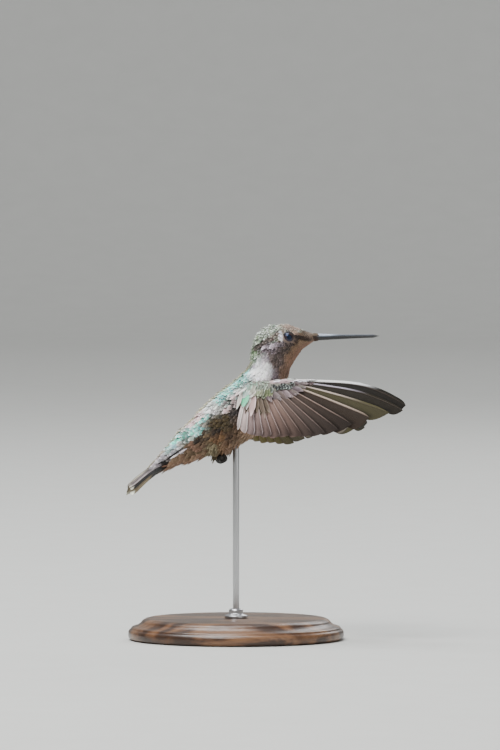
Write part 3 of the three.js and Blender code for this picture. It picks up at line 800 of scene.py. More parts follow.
bare_skin, place, shader = new_finish("bird_skin", Roughness=0.7)
down = place.noise(2600.0, 3.0)
mottled = (down * 0.7).blend(place.stored("tint"), place.stored("edge"))
mottled.nearer((0.16, 0.11, 0.09, 1), 0.3).feed(shader, "Base Color")
bump(down + place.cells(1500.0) * 0.5, shader, 0.5, 0.0002)
skin_mesh.materials.append(bare_skin)
skin = bpy.data.objects.new("skin", skin_mesh)
bpy.context.scene.collection.objects.link(skin)
fix(
    skin, "plumage", "head", "neck", "trunk", "rump", "wing_right_arm", "wing_left_arm",
    "leg_right", "leg_left",
)

# Eyes: a dark brown, nearly black ball that bulges over the pupil, held by a ring of bare,
# finely wrinkled lid. Each sits in the side of the head with its lid just proud.
EYE_CENTRE = np.array([14.4, 3.25, 23.75])
EYE_RADIUS = 1.7
EYE_AXIS = unit(np.array([0.14, 1.0, 0.06]))
WINDOW_DEGREES = 44.0
WINDOW_BULGE = 0.04
LID_OPENING = 1.46
LID_THICKNESS = 0.17
LID_STRETCH = 0.05
LID_HEAVIER = 0.35
LID_FOLDS = 13
LID_FOLD_DEPTH = 0.08
LID_FLATNESS = 0.8
LID_SEAT = (0.06, 0.03)
LID_STEPS = 56
LID_SIDES = 12
BALL_ROWS = 40
BALL_COLUMNS = 56


def eye_frame(side):
    """The eye's centre, its outward axis, and two directions across it."""
    mirror = np.array([1, side, 1])
    axis = EYE_AXIS * mirror
    forward = np.array([1.0, 0, 0]) - axis * axis[0]
    forward /= np.linalg.norm(forward)
    upward = np.cross(axis, forward)
    upward *= np.sign(upward[2])
    return EYE_CENTRE * mirror, axis, forward, upward


def eyeball(side):
    """A ball with its window, and how far each of its points leans from its axis, in degrees."""
    centre, axis, forward, upward = eye_frame(side)
    tilts = math.pi * np.arange(1, BALL_ROWS) / BALL_ROWS
    tilt, turn = crossed(tilts, circle(BALL_COLUMNS))
    share = np.minimum(np.degrees(tilt) / WINDOW_DEGREES, 1)
    radius = EYE_RADIUS + WINDOW_BULGE * (1 - share**2) ** 2
    across = forward * np.cos(turn)[:, None] + upward * np.sin(turn)[:, None]
    point = axis * np.cos(tilt)[:, None] + across * np.sin(tilt)[:, None]
    front = centre + axis * (EYE_RADIUS + WINDOW_BULGE)
    vertices = [front, *(centre + radius[:, None] * point), centre - axis * EYE_RADIUS]
    lean = [0.0, *np.degrees(tilt), 180.0]
    return vertices, facing_out(vertices, poled(BALL_ROWS - 1, BALL_COLUMNS)), lean


def eyelid(side):
    """A ring that lies on the ball, a little longer than tall, thicker above."""
    centre, axis, forward, upward = eye_frame(side)
    turn, roll = (values[:, None] for values in crossed(circle(LID_STEPS), circle(LID_SIDES)))
    reach = LID_OPENING * (1 + LID_STRETCH * np.cos(2 * turn))
    outward = forward * np.cos(turn) + upward * np.sin(turn)
    height = np.sqrt(EYE_RADIUS**2 - np.minimum(reach, EYE_RADIUS * 0.98) ** 2)
    middle = centre + outward * (reach + LID_SEAT[0]) + axis * (height - LID_SEAT[1])
    thickness = LID_THICKNESS * (1 + LID_HEAVIER * np.sin(turn))
    thickness = thickness * (1 + LID_FOLD_DEPTH * np.sin(turn * LID_FOLDS))
    rolled = outward * np.cos(roll) + axis * np.sin(roll) * LID_FLATNESS
    vertices = middle + thickness * rolled
    faces = []
    for low in range(0, len(vertices), LID_SIDES):
        faces += band(low, (low + LID_SIDES) % len(vertices), LID_SIDES)
    return vertices, facing_out(vertices, faces)


eye_finish, place, shader = new_finish(
    "wet_eye", Roughness=0.3, Specular_IOR_Level=0.55, Specular_Tint=(0.28, 0.50, 1.0, 1)
)
lean = place.stored("lean", "Fac")
iris = place.noise(3600.0, 4.0).blend((0.020, 0.011, 0.007, 1), (0.060, 0.032, 0.018, 1))
ringed = (lean.step(25, 28) * (1 - lean.step(42, 47))).blend((0.004, 0.003, 0.004, 1), iris)
ringed.feed(shader, "Base Color")

lid_finish, place, shader = new_finish("eyelid", Roughness=0.55)
wrinkle = place.cells(5200.0)
wrinkle.blend((0.018, 0.014, 0.014, 1), (0.060, 0.050, 0.050, 1)).feed(shader, "Base Color")
bump(wrinkle, shader, 0.6, 0.00008)

for side_name, side in SIDES.items():
    vertices, faces, lean_values = eyeball(side)
    ball = new_piece(f"eyeball_{side_name}", to_world(vertices), faces, eye_finish)
    add_attribute(ball.data, "lean", "FLOAT", lean_values)
    fix(ball, "eye", f"eye_{side_name}")
    vertices, faces = eyelid(side)
    lid = new_piece(f"eyelid_{side_name}", to_world(vertices), faces, lid_finish)
    fix(lid, "plumage")

# Bill: two long, straight halves of dark horn that meet along the gape line. The upper half has
# a rounded ridge and a nostril slit on each side near its root, and overlaps the lower one.
BILL_ROOT = np.array([22.0, 0.0, 24.1])
BILL_TIP = np.array([40.7, 0.0, 24.4])
BILL_ROOT_SIZE = (2.1, 1.95)
BILL_TIP_SIZE = (0.62, 0.84)
BILL_TAPER = 1.6
BILL_ROWS = 90
BILL_SIDES = 28
GAPE_GAP = 0.05
# Where along the bill its nostril is and its painted ridge highlight fades from bright near the
# root, and where its point starts.
NOSTRIL_MIDDLE = 0.165
NOSTRIL_REACH = 0.075
NOSTRIL_DEPTH = 0.16
NOSTRIL_ASIDE = 0.78
BILL_SHINE = (0.16, 0.42)
BILL_POINT = (0.88, 1.0004)
# How flat each half is domed.
BILL_DOMES = {1: 0.85, -1: 1.1}


def bill_half(direction):
    """One half of the bill: +1 for the upper one and -1 for the lower one."""
    share, turn = crossed(np.linspace(0, 1, BILL_ROWS + 1), circle(BILL_SIDES))
    taper = (1 - share) ** BILL_TAPER
    sizes = zip(BILL_TIP_SIZE, BILL_ROOT_SIZE)
    width, depth = ((tip + (root - tip) * taper) / 2 for tip, root in sizes)
    point = faded(share, *BILL_POINT)
    across, rise = np.cos(turn), np.sin(turn)
    domed = np.maximum(rise, 0) ** BILL_DOMES[direction]
    slit = faded(abs(share - NOSTRIL_MIDDLE) / NOSTRIL_REACH, 0.6, 1.0)
    slit *= faded(abs(turn % math.pi - math.pi / 2), 0.9, 1.2)
    slit *= faded(abs(abs(across) - NOSTRIL_ASIDE), 0.08, 0.2) * (direction > 0)
    y = across * width * (0.98 + 0.02 * rise) - np.copysign(NOSTRIL_DEPTH * slit, across)
    y = np.where(rise >= 0, y, across * width * 0.97)
    z = np.where(rise >= 0, domed * depth, rise * 0.03)
    offset = np.column_stack([y * 0, y * point, direction * (GAPE_GAP + z * point)])
    vertices = BILL_ROOT + (BILL_TIP - BILL_ROOT) * share[:, None] + offset
    bright = 0.22 + 0.78 * faded(share, *BILL_SHINE)
    ridge_highlight = faded(-rise * direction, -0.45, 0.1) * bright * faded(share, 0.8, 1.0)
    return vertices, facing_out(vertices, ring_faces(BILL_ROWS + 1, BILL_SIDES)), ridge_highlight


horn, place, shader = new_finish("bill_horn", Coat_Weight=0.25, Coat_Roughness=0.3)
line = place.scaled((260, 4200, 4200)).noise(1.0, 4.0)
black = line.blend((0.003, 0.003, 0.004, 1), (0.010, 0.010, 0.012, 1))
# Painted highlight: a bluish grey line along the top of the bill, brightest near its root, standing
# for the lights' reflection on the dark horn.
painted_ridge_highlight = place.stored("ridge_highlight", "Fac") * (0.7 + line * 0.5)
painted_ridge_highlight.blend(black, (0.38, 0.44, 0.54, 1)).feed(shader, "Base Color")
(0.24 + line * 0.14 + place.noise(900.0) * 0.1).feed(shader, "Roughness")
bump(line, shader, 0.25, 0.0001)
for name, direction, node in (("upper", 1, "bill_upper"), ("lower", -1, "bill_lower")):
    vertices, faces, ridge_highlight_share = bill_half(direction)
    half = new_piece(f"bill_{name}_sheath", to_world(vertices), faces, horn, 0.9)
    add_attribute(half.data, "ridge_highlight", "FLOAT", ridge_highlight_share)
    fix(half, "bill", node)

# Plumage of the body: thousands of small curved vanes rooted in the skin, lying back from the
# bill to the tail and overlapping like tiles. They are tiny on the face, broad and glossy green
# on the back, and longer and softer below, where their ends part into locks of barbs.
BACK_PITCH = (
    0.26, 0.30, 0.42, 0.62, 0.80, 0.84, 0.84, 0.82, 0.84, 0.88, 0.92, 0.96, 1.00, 1.05, 1.12,
    1.20, 1.32,
)
BELLY_PITCH = (
    0.24, 0.26, 0.30, 0.36, 0.44, 0.50, 0.54, 0.58, 0.68, 0.78, 0.86, 0.92, 0.98, 1.06, 1.16,
    1.28, 1.40,
)
LENGTH_SHARE = 2.9
WIDTH_SHARE = 1.5
ROOT_TRIALS = 130000
ROOM_SHARE = 0.82
EYE_CLEARANCE = 1.62
EYE_PARTING = 3.4
ROD_CLEARANCE = 1.3 * MM
# A root further than this from the skin is left out.
SKIN_GAP = 0.45
ROOT_DEPTH = 0.08
BAKE_PATCH = 0.003
SHOWN_AT = 0.72
WOBBLE = (0.05, 0.08, 0.14)
UNEVEN = 0.12
VANE_THICKNESS = 0.035
RIM_ANGLE = 1.0
BRISTLES = 260
BRISTLE_RANGE = (21.7, 23.5)
BRISTLE_LENGTH = 0.85
BRISTLE_WIDTH = 0.34
ROOT_TOP = (128, 110, 92)
ROOT_SIDES = (76, 60, 52)
ROOT_CHIN = (112, 82, 66)
TRACTS = {
    "plumage_head": lambda place, degrees: place < 5.2,
    "plumage_neck": lambda place, degrees: (place >= 5.2) & (place < 8.4),
    "plumage_back": lambda place, degrees: (place >= 8.4) & (place < 12.6) & (degrees < 88),
    "plumage_belly": lambda place, degrees: (place >= 8.4) & (place < 12.6) & (degrees >= 88),
    "plumage_rump": lambda place, degrees: place >= 12.6,
}

# Long side feathers of the tail coverts: from and to by x and z, width and tint. The three dark
# ones are painted shadow along the gap between the rump coverts and the undertail coverts.
COVERT_LINE_DEPTHS = (0.45, -0.35)
COVERT_LINES = (
    ((-18.6, -11.3), (-22.8, -14.0), 1.0, (158, 118, 98)),
    ((-14.0, -6.9), (-16.8, -8.6), 0.5, (232, 220, 228)),
    ((-16.0, -8.1), (-18.8, -9.7), 0.5, (250, 240, 240)),
    ((-15.4, -6.9), (-18.6, -9.5), 0.45, (40, 34, 36)),
    ((-17.2, -8.2), (-21.0, -11.1), 0.45, (26, 22, 24)),
    ((-19.6, -10.1), (-23.2, -13.1), 0.5, (24, 20, 22)),
)

# Each shape of vane: columns, rows, how far its sides bend down, and how far its end parts.
VANE_SHAPES = (
    (4, 5, 0.5, 0.03), (4, 5, 0.4, 0.05), (6, 4, 0.35, 0.10), (6, 4, 0.3, 0.15),
    (6, 4, 0.4, 0.18), (8, 7, 0.3, 0.02),
)
FIRM_VANES = (0, 2)
SOFT_VANES = (2, 5)
BROAD_VANE = 5
# In shares of a vane's length: how wide its root is, where it reaches its full width, from where
# and by how much it narrows, how far its corners lag, and how far it arches and droops.
VANE_ROOT = 0.30
VANE_FULL = 0.55
VANE_NARROWS = 0.62
VANE_NARROWING = 0.42
VANE_LAG = 0.20
VANE_ARCH = 0.06
VANE_DROOP = 0.05


def shell(grid, thickness):
    """A closed sheet over a grid of points: its points, its faces, and each point's origin."""
    rows, columns = grid.shape[:2]
    over = np.arange(rows * columns).reshape(rows, columns)
    under = over.copy()
    under[1:-1, 1:-1] = rows * columns + np.arange((rows - 2) * (columns - 2)).reshape(rows - 2, -1)
    lowered = grid[1:-1, 1:-1] - (0, 0, thickness)
    vertices = np.concatenate([grid.reshape(-1, 3), lowered.reshape(-1, 3)])

    def quads(sheet):
        corners = [sheet[:-1, :-1], sheet[:-1, 1:], sheet[1:, 1:], sheet[1:, :-1]]
        return np.stack(corners, -1).reshape(-1, 4)

    faces = np.concatenate([quads(over), quads(under)[:, ::-1]])
    return vertices, faces, np.concatenate([over.ravel(), over[1:-1, 1:-1].ravel()])


def vane(name, columns, rows, cup, parting, seed):
    """A thin closed feather 1 long and 1 wide, from its root at the origin along +Y."""
    draw = np.random.default_rng(seed)
    along, across = np.meshgrid(
        np.linspace(0, 1, rows + 1), np.linspace(-1, 1, columns + 1), indexing="ij"
    )
    grows = np.sin(math.pi / 2 * np.minimum(along / VANE_FULL, 1))
    half = 0.5 * (VANE_ROOT + (1 - VANE_ROOT) * grows)
    half *= 1 - VANE_NARROWING * np.maximum(0, (along - VANE_NARROWS) / (1 - VANE_NARROWS)) ** 2
    onward = along - VANE_LAG * across**2 * along**2 + draw.uniform(-0.01, 0.01, along.shape)
    onward[-1, ::2] -= parting * draw.uniform(0.6, 1.0, onward[-1, ::2].shape)
    onward[-1, 1::2] += parting * draw.uniform(0.0, 0.4, onward[-1, 1::2].shape)
    arch = VANE_ARCH * np.sin(math.pi * along)
    height = arch - cup * half * across**2 - VANE_DROOP * along**2
    grid = np.stack([across * half, onward, height], -1)
    vertices, faces, source = shell(grid, VANE_THICKNESS)
    mesh = bpy.data.meshes.new(name)
    mesh.from_pydata(vertices.tolist(), [], faces.tolist())
    mesh.shade_smooth()
    mesh.set_sharp_from_angle(angle=RIM_ANGLE)
    coords = np.stack([across.ravel() / 2 + 0.5, along.ravel()], -1)[source]
    layer = mesh.uv_layers.new(name="vane")
    layer.data.foreach_set("uv", coords[faces.ravel()].ravel())
    return bpy.data.objects.new(name, mesh)


vanes = bpy.data.collections.new("vanes")
for index, shape in enumerate(VANE_SHAPES):
    vanes.objects.link(vane(f"vane_{index}", *shape, 40 + index))


def plumage_tree():
    """Instances a vane on each root, turned along its lie, and keeps its root's bake patch."""
    tree = bpy.data.node_groups.new("plumage", "GeometryNodeTree")
    sockets = {}
    for name, kind in {
        "Roots": "Geometry", "Vanes": "Collection", "Wobble": "Vector", "Uneven": "Float",
        "Patch": "Float", "Seed": "Int", "Finish": "Material",
    }.items():
        made = tree.interface.new_socket(name, in_out="INPUT", socket_type=f"NodeSocket{kind}")
        sockets[name] = made.identifier
    tree.interface.new_socket("Plumage", in_out="OUTPUT", socket_type="NodeSocketGeometry")
    given = tree.nodes.new("NodeGroupInput")
    inputs = {name: Socket(tree, given.outputs[name]) for name in sockets}
    start = Socket(tree)

    def stored(name, kind="FLOAT_VECTOR"):
        settings = {"data_type": kind}
        return start.node("GeometryNodeInputNamedAttribute", settings, {"Name": name})

    def vector(operation, first, second):
        return start.node("ShaderNodeVectorMath", {"operation": operation}, {0: first, 1: second})

    align = "FunctionNodeAlignRotationToVector"
    upright = start.node(align, {"axis": "Z"}, {"Vector": stored("up")})
    lying = {"Rotation": upright, "Vector": stored("lie")}
    lying = start.node(align, {"axis": "Y", "pivot_axis": "Z"}, lying)
    limits = {"Min": vector("MULTIPLY", inputs["Wobble"], (-1, -1, -1)), "Max": inputs["Wobble"]}
    limits["Seed"] = inputs["Seed"]
    sway = start.node("FunctionNodeRandomValue", {"data_type": "FLOAT_VECTOR"}, limits)
    sway = start.node("FunctionNodeEulerToRotation", {}, {0: sway})
    turn = {"Rotation": lying, "Rotate By": sway}
    turn = start.node("FunctionNodeRotateRotation", {"rotation_space": "LOCAL"}, turn)
    spread = {2: 1 - inputs["Uneven"], 3: 1 + inputs["Uneven"], "Seed": inputs["Seed"] + 1}
    spread = start.node("FunctionNodeRandomValue", {"data_type": "FLOAT"}, spread, 1)
    shapes = {"Collection": inputs["Vanes"], "Separate Children": True, "Reset Children": True}
    shapes = start.node("GeometryNodeCollectionInfo", {}, shapes)
    placed = {
        "Points": inputs["Roots"], "Instance": shapes, "Pick Instance": True,
        "Instance Index": stored("kind", "INT"), "Rotation": turn,
        "Scale": vector("MULTIPLY", stored("size"), spread),
    }
    placed = start.node("GeometryNodeInstanceOnPoints", {}, placed)
    solid = start.node("GeometryNodeRealizeInstances", {}, {"Geometry": placed})
    shift = vector("SUBTRACT", stored("vane"), (0.5, 0.5, 0))
    patch = start.node(
        "ShaderNodeVectorMath", {"operation": "SCALE"}, {0: shift, "Scale": inputs["Patch"]}
    )
    mapped = {"Geometry": solid, "Name": "OFBake", "Value": vector("ADD", stored("patch"), patch)}
    settings = {"data_type": "FLOAT2", "domain": "CORNER"}
    mapped = start.node("GeometryNodeStoreNamedAttribute", settings, mapped)
    ended = {"Geometry": mapped, "Material": inputs["Finish"]}
    ended = start.node("GeometryNodeSetMaterial", {}, ended)
    ended.feed(tree.nodes.new("NodeGroupOutput"), "Plumage")
    return tree, sockets


def body_directions(place, angle):
    """The way back along the body and the way outwards from it."""
    step = 0.02
    back = body_point(place + step, angle) - body_point(place - step, angle)
    around = body_point(place, angle + step) - body_point(place, angle - step)
    outward = unit(np.cross(around, back))
    middle = (body_point(place, 0.0) + body_point(place, math.pi)) / 2
    sign = np.sign(((body_point(place, angle) - middle) * outward).sum(1))
    return unit(back), outward * sign[:, None]


def pitch_at(place, angle):
    underside = (1 - np.cos(angle)) / 2
    sections = np.arange(LAST_SECTION + 1)
    back = np.interp(place, sections, BACK_PITCH)
    return back + (np.interp(place, sections, BELLY_PITCH) - back) * underside


def scattered(draw, surface, first_range, second_range, pitch_field, trials):
    """Roots spread evenly over a surface of two coordinates, at the pitch of each place."""
    first = draw.uniform(*first_range, trials)
    second = draw.uniform(*second_range, trials)
    pitch = pitch_field(first, second)
    step = 0.02
    one_way = surface(first + step, second) - surface(first - step, second)
    other_way = surface(first, second + step) - surface(first, second - step)
    weight = np.linalg.norm(np.cross(one_way, other_way), axis=1) / pitch**2
    kept = draw.random(trials) < weight / np.quantile(weight, 0.9)
    first, second, pitch = first[kept], second[kept], pitch[kept]
    points = surface(first, second)
    taken = np.full((len(points), 3), 1e6)
    chosen = []
    for index, (point, room) in enumerate(zip(points, (pitch * ROOM_SHARE) ** 2)):
        gaps = ((taken[: len(chosen)] - point) ** 2).sum(1)
        if not (gaps < room).any():
            taken[len(chosen)] = point
            chosen.append(index)
    return first[chosen], second[chosen], pitch[chosen]


def square_to(lie, vectors):
    """The vectors without what runs along the lie."""
    return vectors - (vectors * lie).sum(1)[:, None] * lie


def body_patch(place, angle):
    """Where each root is on the body when it is unwrapped."""
    return np.stack([angle / (2 * math.pi) + 0.5, place / LAST_SECTION, place * 0], -1)


def planted(roots, lie, upright, width, length, patch, kind, tint, edge, gloss=0.0):
    """Feathers to grow: where each is rooted, how it lies, its size, its shape and its look."""
    count = len(roots)
    width, kind, gloss = (np.broadcast_to(values, count) for values in (width, kind, gloss))
    tint, edge = (np.broadcast_to(colours, (count, 3)) for colours in (tint, edge))
    return {
        "root": roots, "lie": lie, "up": upright, "size": np.stack([width, length, width], -1),
        "patch": patch, "kind": kind, "tint": tint, "edge": edge, "gloss": gloss,
    }


def picked(plants, mine):
    return {key: values[mine] for key, values in plants.items()}


def joined(layers):
    return {key: np.concatenate([layer[key] for layer in layers]) for key in layers[0]}


def vane_finish(name, specular):
    """A finish for vanes, with each point's place across and along its own vane."""
    material, place, shader = new_finish(name, Specular_IOR_Level=specular)
    spot = place.node("ShaderNodeUVMap", {"uv_map": "vane"})
    x, y = (place.node("ShaderNodeSeparateXYZ", {}, {0: spot}, axis) for axis in "XY")
    return material, place, shader, spot, x, y


def grown(name, plants, wobble=WOBBLE):
    """A piece of plumage with a vane on each root of the plants."""
    cloud = bpy.data.meshes.new(name)
    cloud.from_pydata(to_world(plants["root"]).tolist(), [], [])
    for key in ("lie", "up"):
        add_attribute(cloud, key, "FLOAT_VECTOR", to_heading(plants[key]))
    add_attribute(cloud, "size", "FLOAT_VECTOR", plants["size"] * MM)
    add_attribute(cloud, "patch", "FLOAT_VECTOR", plants["patch"])
    add_attribute(cloud, "kind", "INT", plants["kind"])
    add_attribute(cloud, "gloss", "FLOAT", plants["gloss"])
    for key in ("tint", "edge"):
        colours = with_alpha(np.clip(plants[key], 0, 0.95))
        add_attribute(cloud, key, "FLOAT_COLOR", colours)
    rough = bpy.data.objects.new(name + "_roots", cloud)
    bpy.context.scene.collection.objects.link(rough)
    growth = rough.modifiers.new("plumage", "NODES")
    growth.node_group = plumage_group
    settings = {
        "Vanes": vanes, "Wobble": wobble, "Uneven": UNEVEN, "Patch": BAKE_PATCH, "Seed": 11,
        "Finish": coat_finish,
    }
    for key, value in settings.items():
        growth[plumage_sockets[key]] = value
    mesh = plain(rough)
    for key in ("lie", "up", "size", "patch", "kind"):
        mesh.attributes.remove(mesh.attributes[key])
    piece = bpy.data.objects.new(name, mesh)
    bpy.context.scene.collection.objects.link(piece)
    fix(piece, "plumage")


coat_finish, place, shader, spot, x, y = vane_finish("contour_plumage", 0.35)
gloss = place.stored("gloss", "Fac")
across = abs(x * 2 - 1)
border = across.step(0.5, 1.0).top(y.step(0.70, 0.98))
barb = ((y - across * 0.4) * 70).sine()
down = place.noise(5200.0)
ground = (border * 0.85).blend(place.stored("tint"), place.stored("edge"))
lined = (barb * 0.07 + down * 0.16 + 0.02).blend(ground, (0.02, 0.017, 0.015, 1))
# Darker towards each vane's root: partly its own grey down and partly painted shade under the vanes
# that lie over it.
root_down_and_shade = (1 - y.step(0.0, 0.5)) * 0.45
root_down_and_shade.blend(lined, (0.05, 0.045, 0.042, 1)).feed(shader, "Base Color")
(gloss * 0.5).feed(shader, "Metallic")
(0.66 - gloss * 0.26 + down * 0.1).feed(shader, "Roughness")
bump(barb * 0.5 + across * -0.4, shader, 0.35, 0.0001)
plumage_group, plumage_sockets = plumage_tree()

draw = np.random.default_rng(20)
whole_body = (0.15, LAST_SECTION - 0.1), (-math.pi, math.pi)
place, angle, pitch = scattered(draw, body_point, *whole_body, pitch_at, ROOT_TRIALS)
roots = body_point(place, angle)
back, outward = body_directions(place, angle)
on_skin = np.array([skin.closest_point_on_mesh(point)[1] for point in to_world(roots)])
sunk = np.linalg.norm(to_bird(on_skin) - roots, axis=1)
by_rod = (np.hypot(*on_skin[:, :2].T) < ROD_CLEARANCE) & (on_skin[:, 2] < TRUNK_HEIGHT * MM)
free = (sunk < SKIN_GAP) & ~by_rod
length = pitch * LENGTH_SHARE
lie = back.copy()
for side in SIDES.values():
    centre, axis, _, _ = eye_frame(side)
    offset = roots - centre
    offset -= (offset @ axis)[:, None] * axis
    gap = np.linalg.norm(offset, axis=1)
    near = (roots[:, 1] * side > 0.5) & (gap < EYE_PARTING)
    away = offset / np.maximum(gap, 0.01)[:, None]
    share = faded(gap, EYE_CLEARANCE, EYE_PARTING) * near
    inward = np.minimum((lie * away).sum(1), 0)
    lie += away * ((0.12 - inward) * share)[:, None]
    length *= 1 - 0.45 * share
    free &= ~(near & (gap < EYE_CLEARANCE))
lie = unit(square_to(outward, lie))
shown = roots + lie * length[:, None] * SHOWN_AT
near_grid = [body_tree.find(point)[1] for point in shown]
marks = marked(shown, grid_place[near_grid], angle)
soft_share = np.clip(1 - marks.gloss * 1.6, 0, 1)
depth = np.interp(place, np.arange(LAST_SECTION + 1), [row[5] for row in BODY.values()])
tilt = np.arcsin(np.clip(depth / length, 0, 0.5)) * 0.9
tilt += np.radians(draw.normal(0, 3, len(length)))
level, rise = np.cos(tilt)[:, None], np.sin(tilt)[:, None]
soft = draw.random(len(length)) < soft_share
shade = np.exp(draw.normal(0, 1, (len(length), 1)) * marks.mottle[:, None])
hue = np.exp(draw.normal(0, 0.06, (len(length), 3)) * (0.4 + marks.gloss[:, None] * 2))
soft_kinds = draw.integers(*SOFT_VANES, len(soft))
firm_kinds = draw.integers(*FIRM_VANES, len(soft))
plants = planted(
    to_bird(on_skin) - outward * ROOT_DEPTH, lie * level + outward * rise,
    outward * level - lie * rise, pitch * WIDTH_SHARE, length, body_patch(place, angle),
    np.where(soft, soft_kinds, firm_kinds), marks.tint * shade * hue, marks.edge * shade**0.8,
    marks.gloss,
)
for name, belongs in TRACTS.items():
    grown(name, picked(plants, free & belongs(place, marks.degrees)))

on_side = grid_points[:, 1] > 0.5
side_points, side_places = grid_points[on_side], grid_place[on_side]
side_angles = grid_angle[on_side]
ends = np.array([line[:2] for line in COVERT_LINES])
gaps = np.linalg.norm(side_points[:, None, None, ::2] - ends, axis=-1)
place, angle = side_places[gaps.argmin(0)], side_angles[gaps.argmin(0)]
start = body_point(place[:, 0], angle[:, 0], COVERT_LINE_DEPTHS[0])
end = body_point(place[:, 1], angle[:, 1], COVERT_LINE_DEPTHS[1])
place, angle = place[:, 0], angle[:, 0]
outward = body_directions(place, angle)[1]
lie = unit(end - start)
length = np.linalg.norm(end - start, axis=1)
width = np.array([line[2] for line in COVERT_LINES])
tint = np.array([tinted(*line[3]) for line in COVERT_LINES])
upright = unit(square_to(lie, outward))
for side_name, side in SIDES.items():
    mirror = np.array([1, side, 1])
    patch = body_patch(place, side * angle)
    lines = planted(
        start * mirror, lie * mirror, upright * mirror, width, length, patch, BROAD_VANE, tint,
        tint * 1.1,
    )
    grown(f"tail_covert_edges_{side_name}", lines, (0.0, 0.0, 0.0))

along = draw.uniform(*BRISTLE_RANGE, BRISTLES)
turn = draw.uniform(-math.pi, math.pi, BRISTLES)
radial = np.stack([along * 0, np.sin(turn), np.cos(turn)], -1)
root_size = np.array([0, *BILL_ROOT_SIZE]) / 2
roots = BILL_ROOT + radial * root_size * 0.97 + (along - BILL_ROOT[0])[:, None] * (1, 0, 0)
lie = unit(radial * 0.3 - (1.0, 0, 0))
upper = faded(-np.cos(turn), -0.6, 0.0)[:, None]
lower = faded(np.cos(turn), -0.8, -0.4)[:, None]
tint = tinted(*ROOT_SIDES) + (tinted(*ROOT_TOP) - tinted(*ROOT_SIDES)) * upper
tint += (tinted(*ROOT_CHIN) - tint) * lower
tint *= np.exp(draw.normal(0, 0.25, (BRISTLES, 1)))
kinds = draw.integers(*SOFT_VANES, BRISTLES)
patch = np.stack([turn / (2 * math.pi) + 0.5, along * 0.01, along * 0], -1)
upright = unit(square_to(lie, radial))
size = BRISTLE_WIDTH, np.full(BRISTLES, BRISTLE_LENGTH)
bristles = planted(roots, lie, upright, *size, patch, kinds, tint, tint * 1.5)
grown("plumage_bill_root", bristles)

# Flight feathers: ten primaries and six secondaries on each wing, each with a stiff shaft and a
# narrow leading and a broad trailing vane. They fan from hand and forearm, and each lies with
# its trailing vane under its inner neighbour. Numbers run from the outermost feather inwards.
FEATHER_TIPS = np.array([
    (49.7, 0.3), (49.2, 1.8), (44.9, 2.9), (38.6, 4.9), (33.4, 7.4), (29.2, 9.3), (25.0, 10.7),
    (21.0, 11.6), (17.2, 12.2), (13.4, 12.6), (10.0, 13.3), (6.9, 13.6), (3.9, 13.9),
    (0.9, 14.1), (-2.2, 14.1), (-5.2, 13.6),
])
FEATHER_ROOTS = np.array([
    (8.9, -2.7), (9.8, -2.5), (10.3, -1.7), (9.5, -1.0), (8.3, -0.3), (6.7, 0.1), (5.4, 0.6),
    (4.2, 1.0), (3.2, 1.1), (2.2, 1.5), (1.1, 2.2), (0.1, 2.5), (-1.0, 2.4), (-2.2, 2.0),
    (-3.3, 1.5), (-4.2, 1.0),
])
# How much further out and forward the tips of the left wing's outer feathers are held.
LEFT_SHIFTS = {3: (4.2, -3.7), 4: (2.8, -4.6), 5: (1.2, -2.6), 6: (0.2, -1.2)}
PRIMARIES = 10
BOWS = (2.7, 1.7, 0.45, 0.15, 0.05)
BOW_LEAN = 1.35
QUILL_ROWS = 38
LEADING_SHARES = (1.0, 0.66, 0.33, 0.08)
TRAILING_SHARES = (0.0, 0.04, 0.14, 0.28, 0.42, 0.56, 0.70, 0.83, 0.93, 1.0)
LEADING_SWEEP = 2.0
TRAILING_SWEEP = 1.3
SHAFT_AT = 0.2
FEATHER_TILT = 0.10
FEATHER_CUP = 0.012
FEATHER_THICKNESS = 0.07
SHAFT_RISE = 0.07
EDGE_SHADOW = 0.56

# Widths of the vanes on each side of the shaft, and over what length and how bluntly they end.
LEADING_WIDTHS = (
    0.75, 0.46, 0.50, 0.55, 0.34, 0.30, 0.30, 0.30, 0.32, 0.36, 0.42, 0.42, 0.45, 0.50, 0.50,
    0.50,
)
TRAILING_WIDTHS = (
    3.6, 2.6, 4.0, 4.8, 4.3, 4.0, 3.7, 3.5, 3.5, 3.5, 3.4, 3.4, 3.3, 3.0, 2.3, 0.9,
)
END_TAPERS = (
    4.4, 4.6, 7.5, 4.6, 4.6, 4.4, 4.2, 3.8, 3.2, 2.6, 2.0, 1.8, 1.8, 1.8, 1.8, 2.0,
)
BLUNTNESS = (3.4, 2.6, 2.0, 2.2, 1.6, 1.5, 1.5, 1.5, 1.6, 1.8, 2.2, 2.4, 2.4, 2.4, 2.4, 2.0)
SHADOW_REACH = 0.55

# How far along each outer primary its pale edge, partly a painted highlight, starts and ends to
# fade into its vane.
EDGE_FADE = ((0.50, 0.72), (0.38, 0.66), (0.36, 0.74), (0.60, 1.15), (0.60, 1.00), (0.60, 0.95))
# The fourth feather has an edge of its own, and the first a dark band behind its shaft.
FOURTH = 3
FOURTH_EDGE = (200, 178, 162)
FIRST_SHADE = 0.55
FIRST_SHADE_WIDTH = 0.16

# Middle tint, leading edge and underside of some feathers, by number, from which the rest follow.
# The pale leading edges are partly the feathers' own pale edge and partly a painted highlight.
TINT_NUMBERS = (0, 1, 2, 3, 4, 6, 8, 10, 13, 15)
FLIGHT_TINTS = (
    (50, 44, 34), (60, 52, 38), (98, 92, 62), (82, 66, 54), (80, 65, 57), (108, 92, 86),
    (142, 117, 108), (166, 136, 127), (210, 182, 180), (252, 234, 232),
)
FLIGHT_EDGES = (
    (250, 250, 252), (196, 186, 202), (206, 188, 178), (182, 160, 146), (158, 136, 126),
    (150, 128, 121), (160, 138, 131), (182, 158, 154), (218, 198, 200), (252, 244, 240),
)
UNDER_TINTS = (
    (80, 74, 60), (96, 90, 66), (120, 112, 76), (166, 154, 138), (156, 144, 126),
    (116, 108, 84), (134, 124, 76), (146, 134, 78), (140, 128, 80), (140, 128, 80),
)
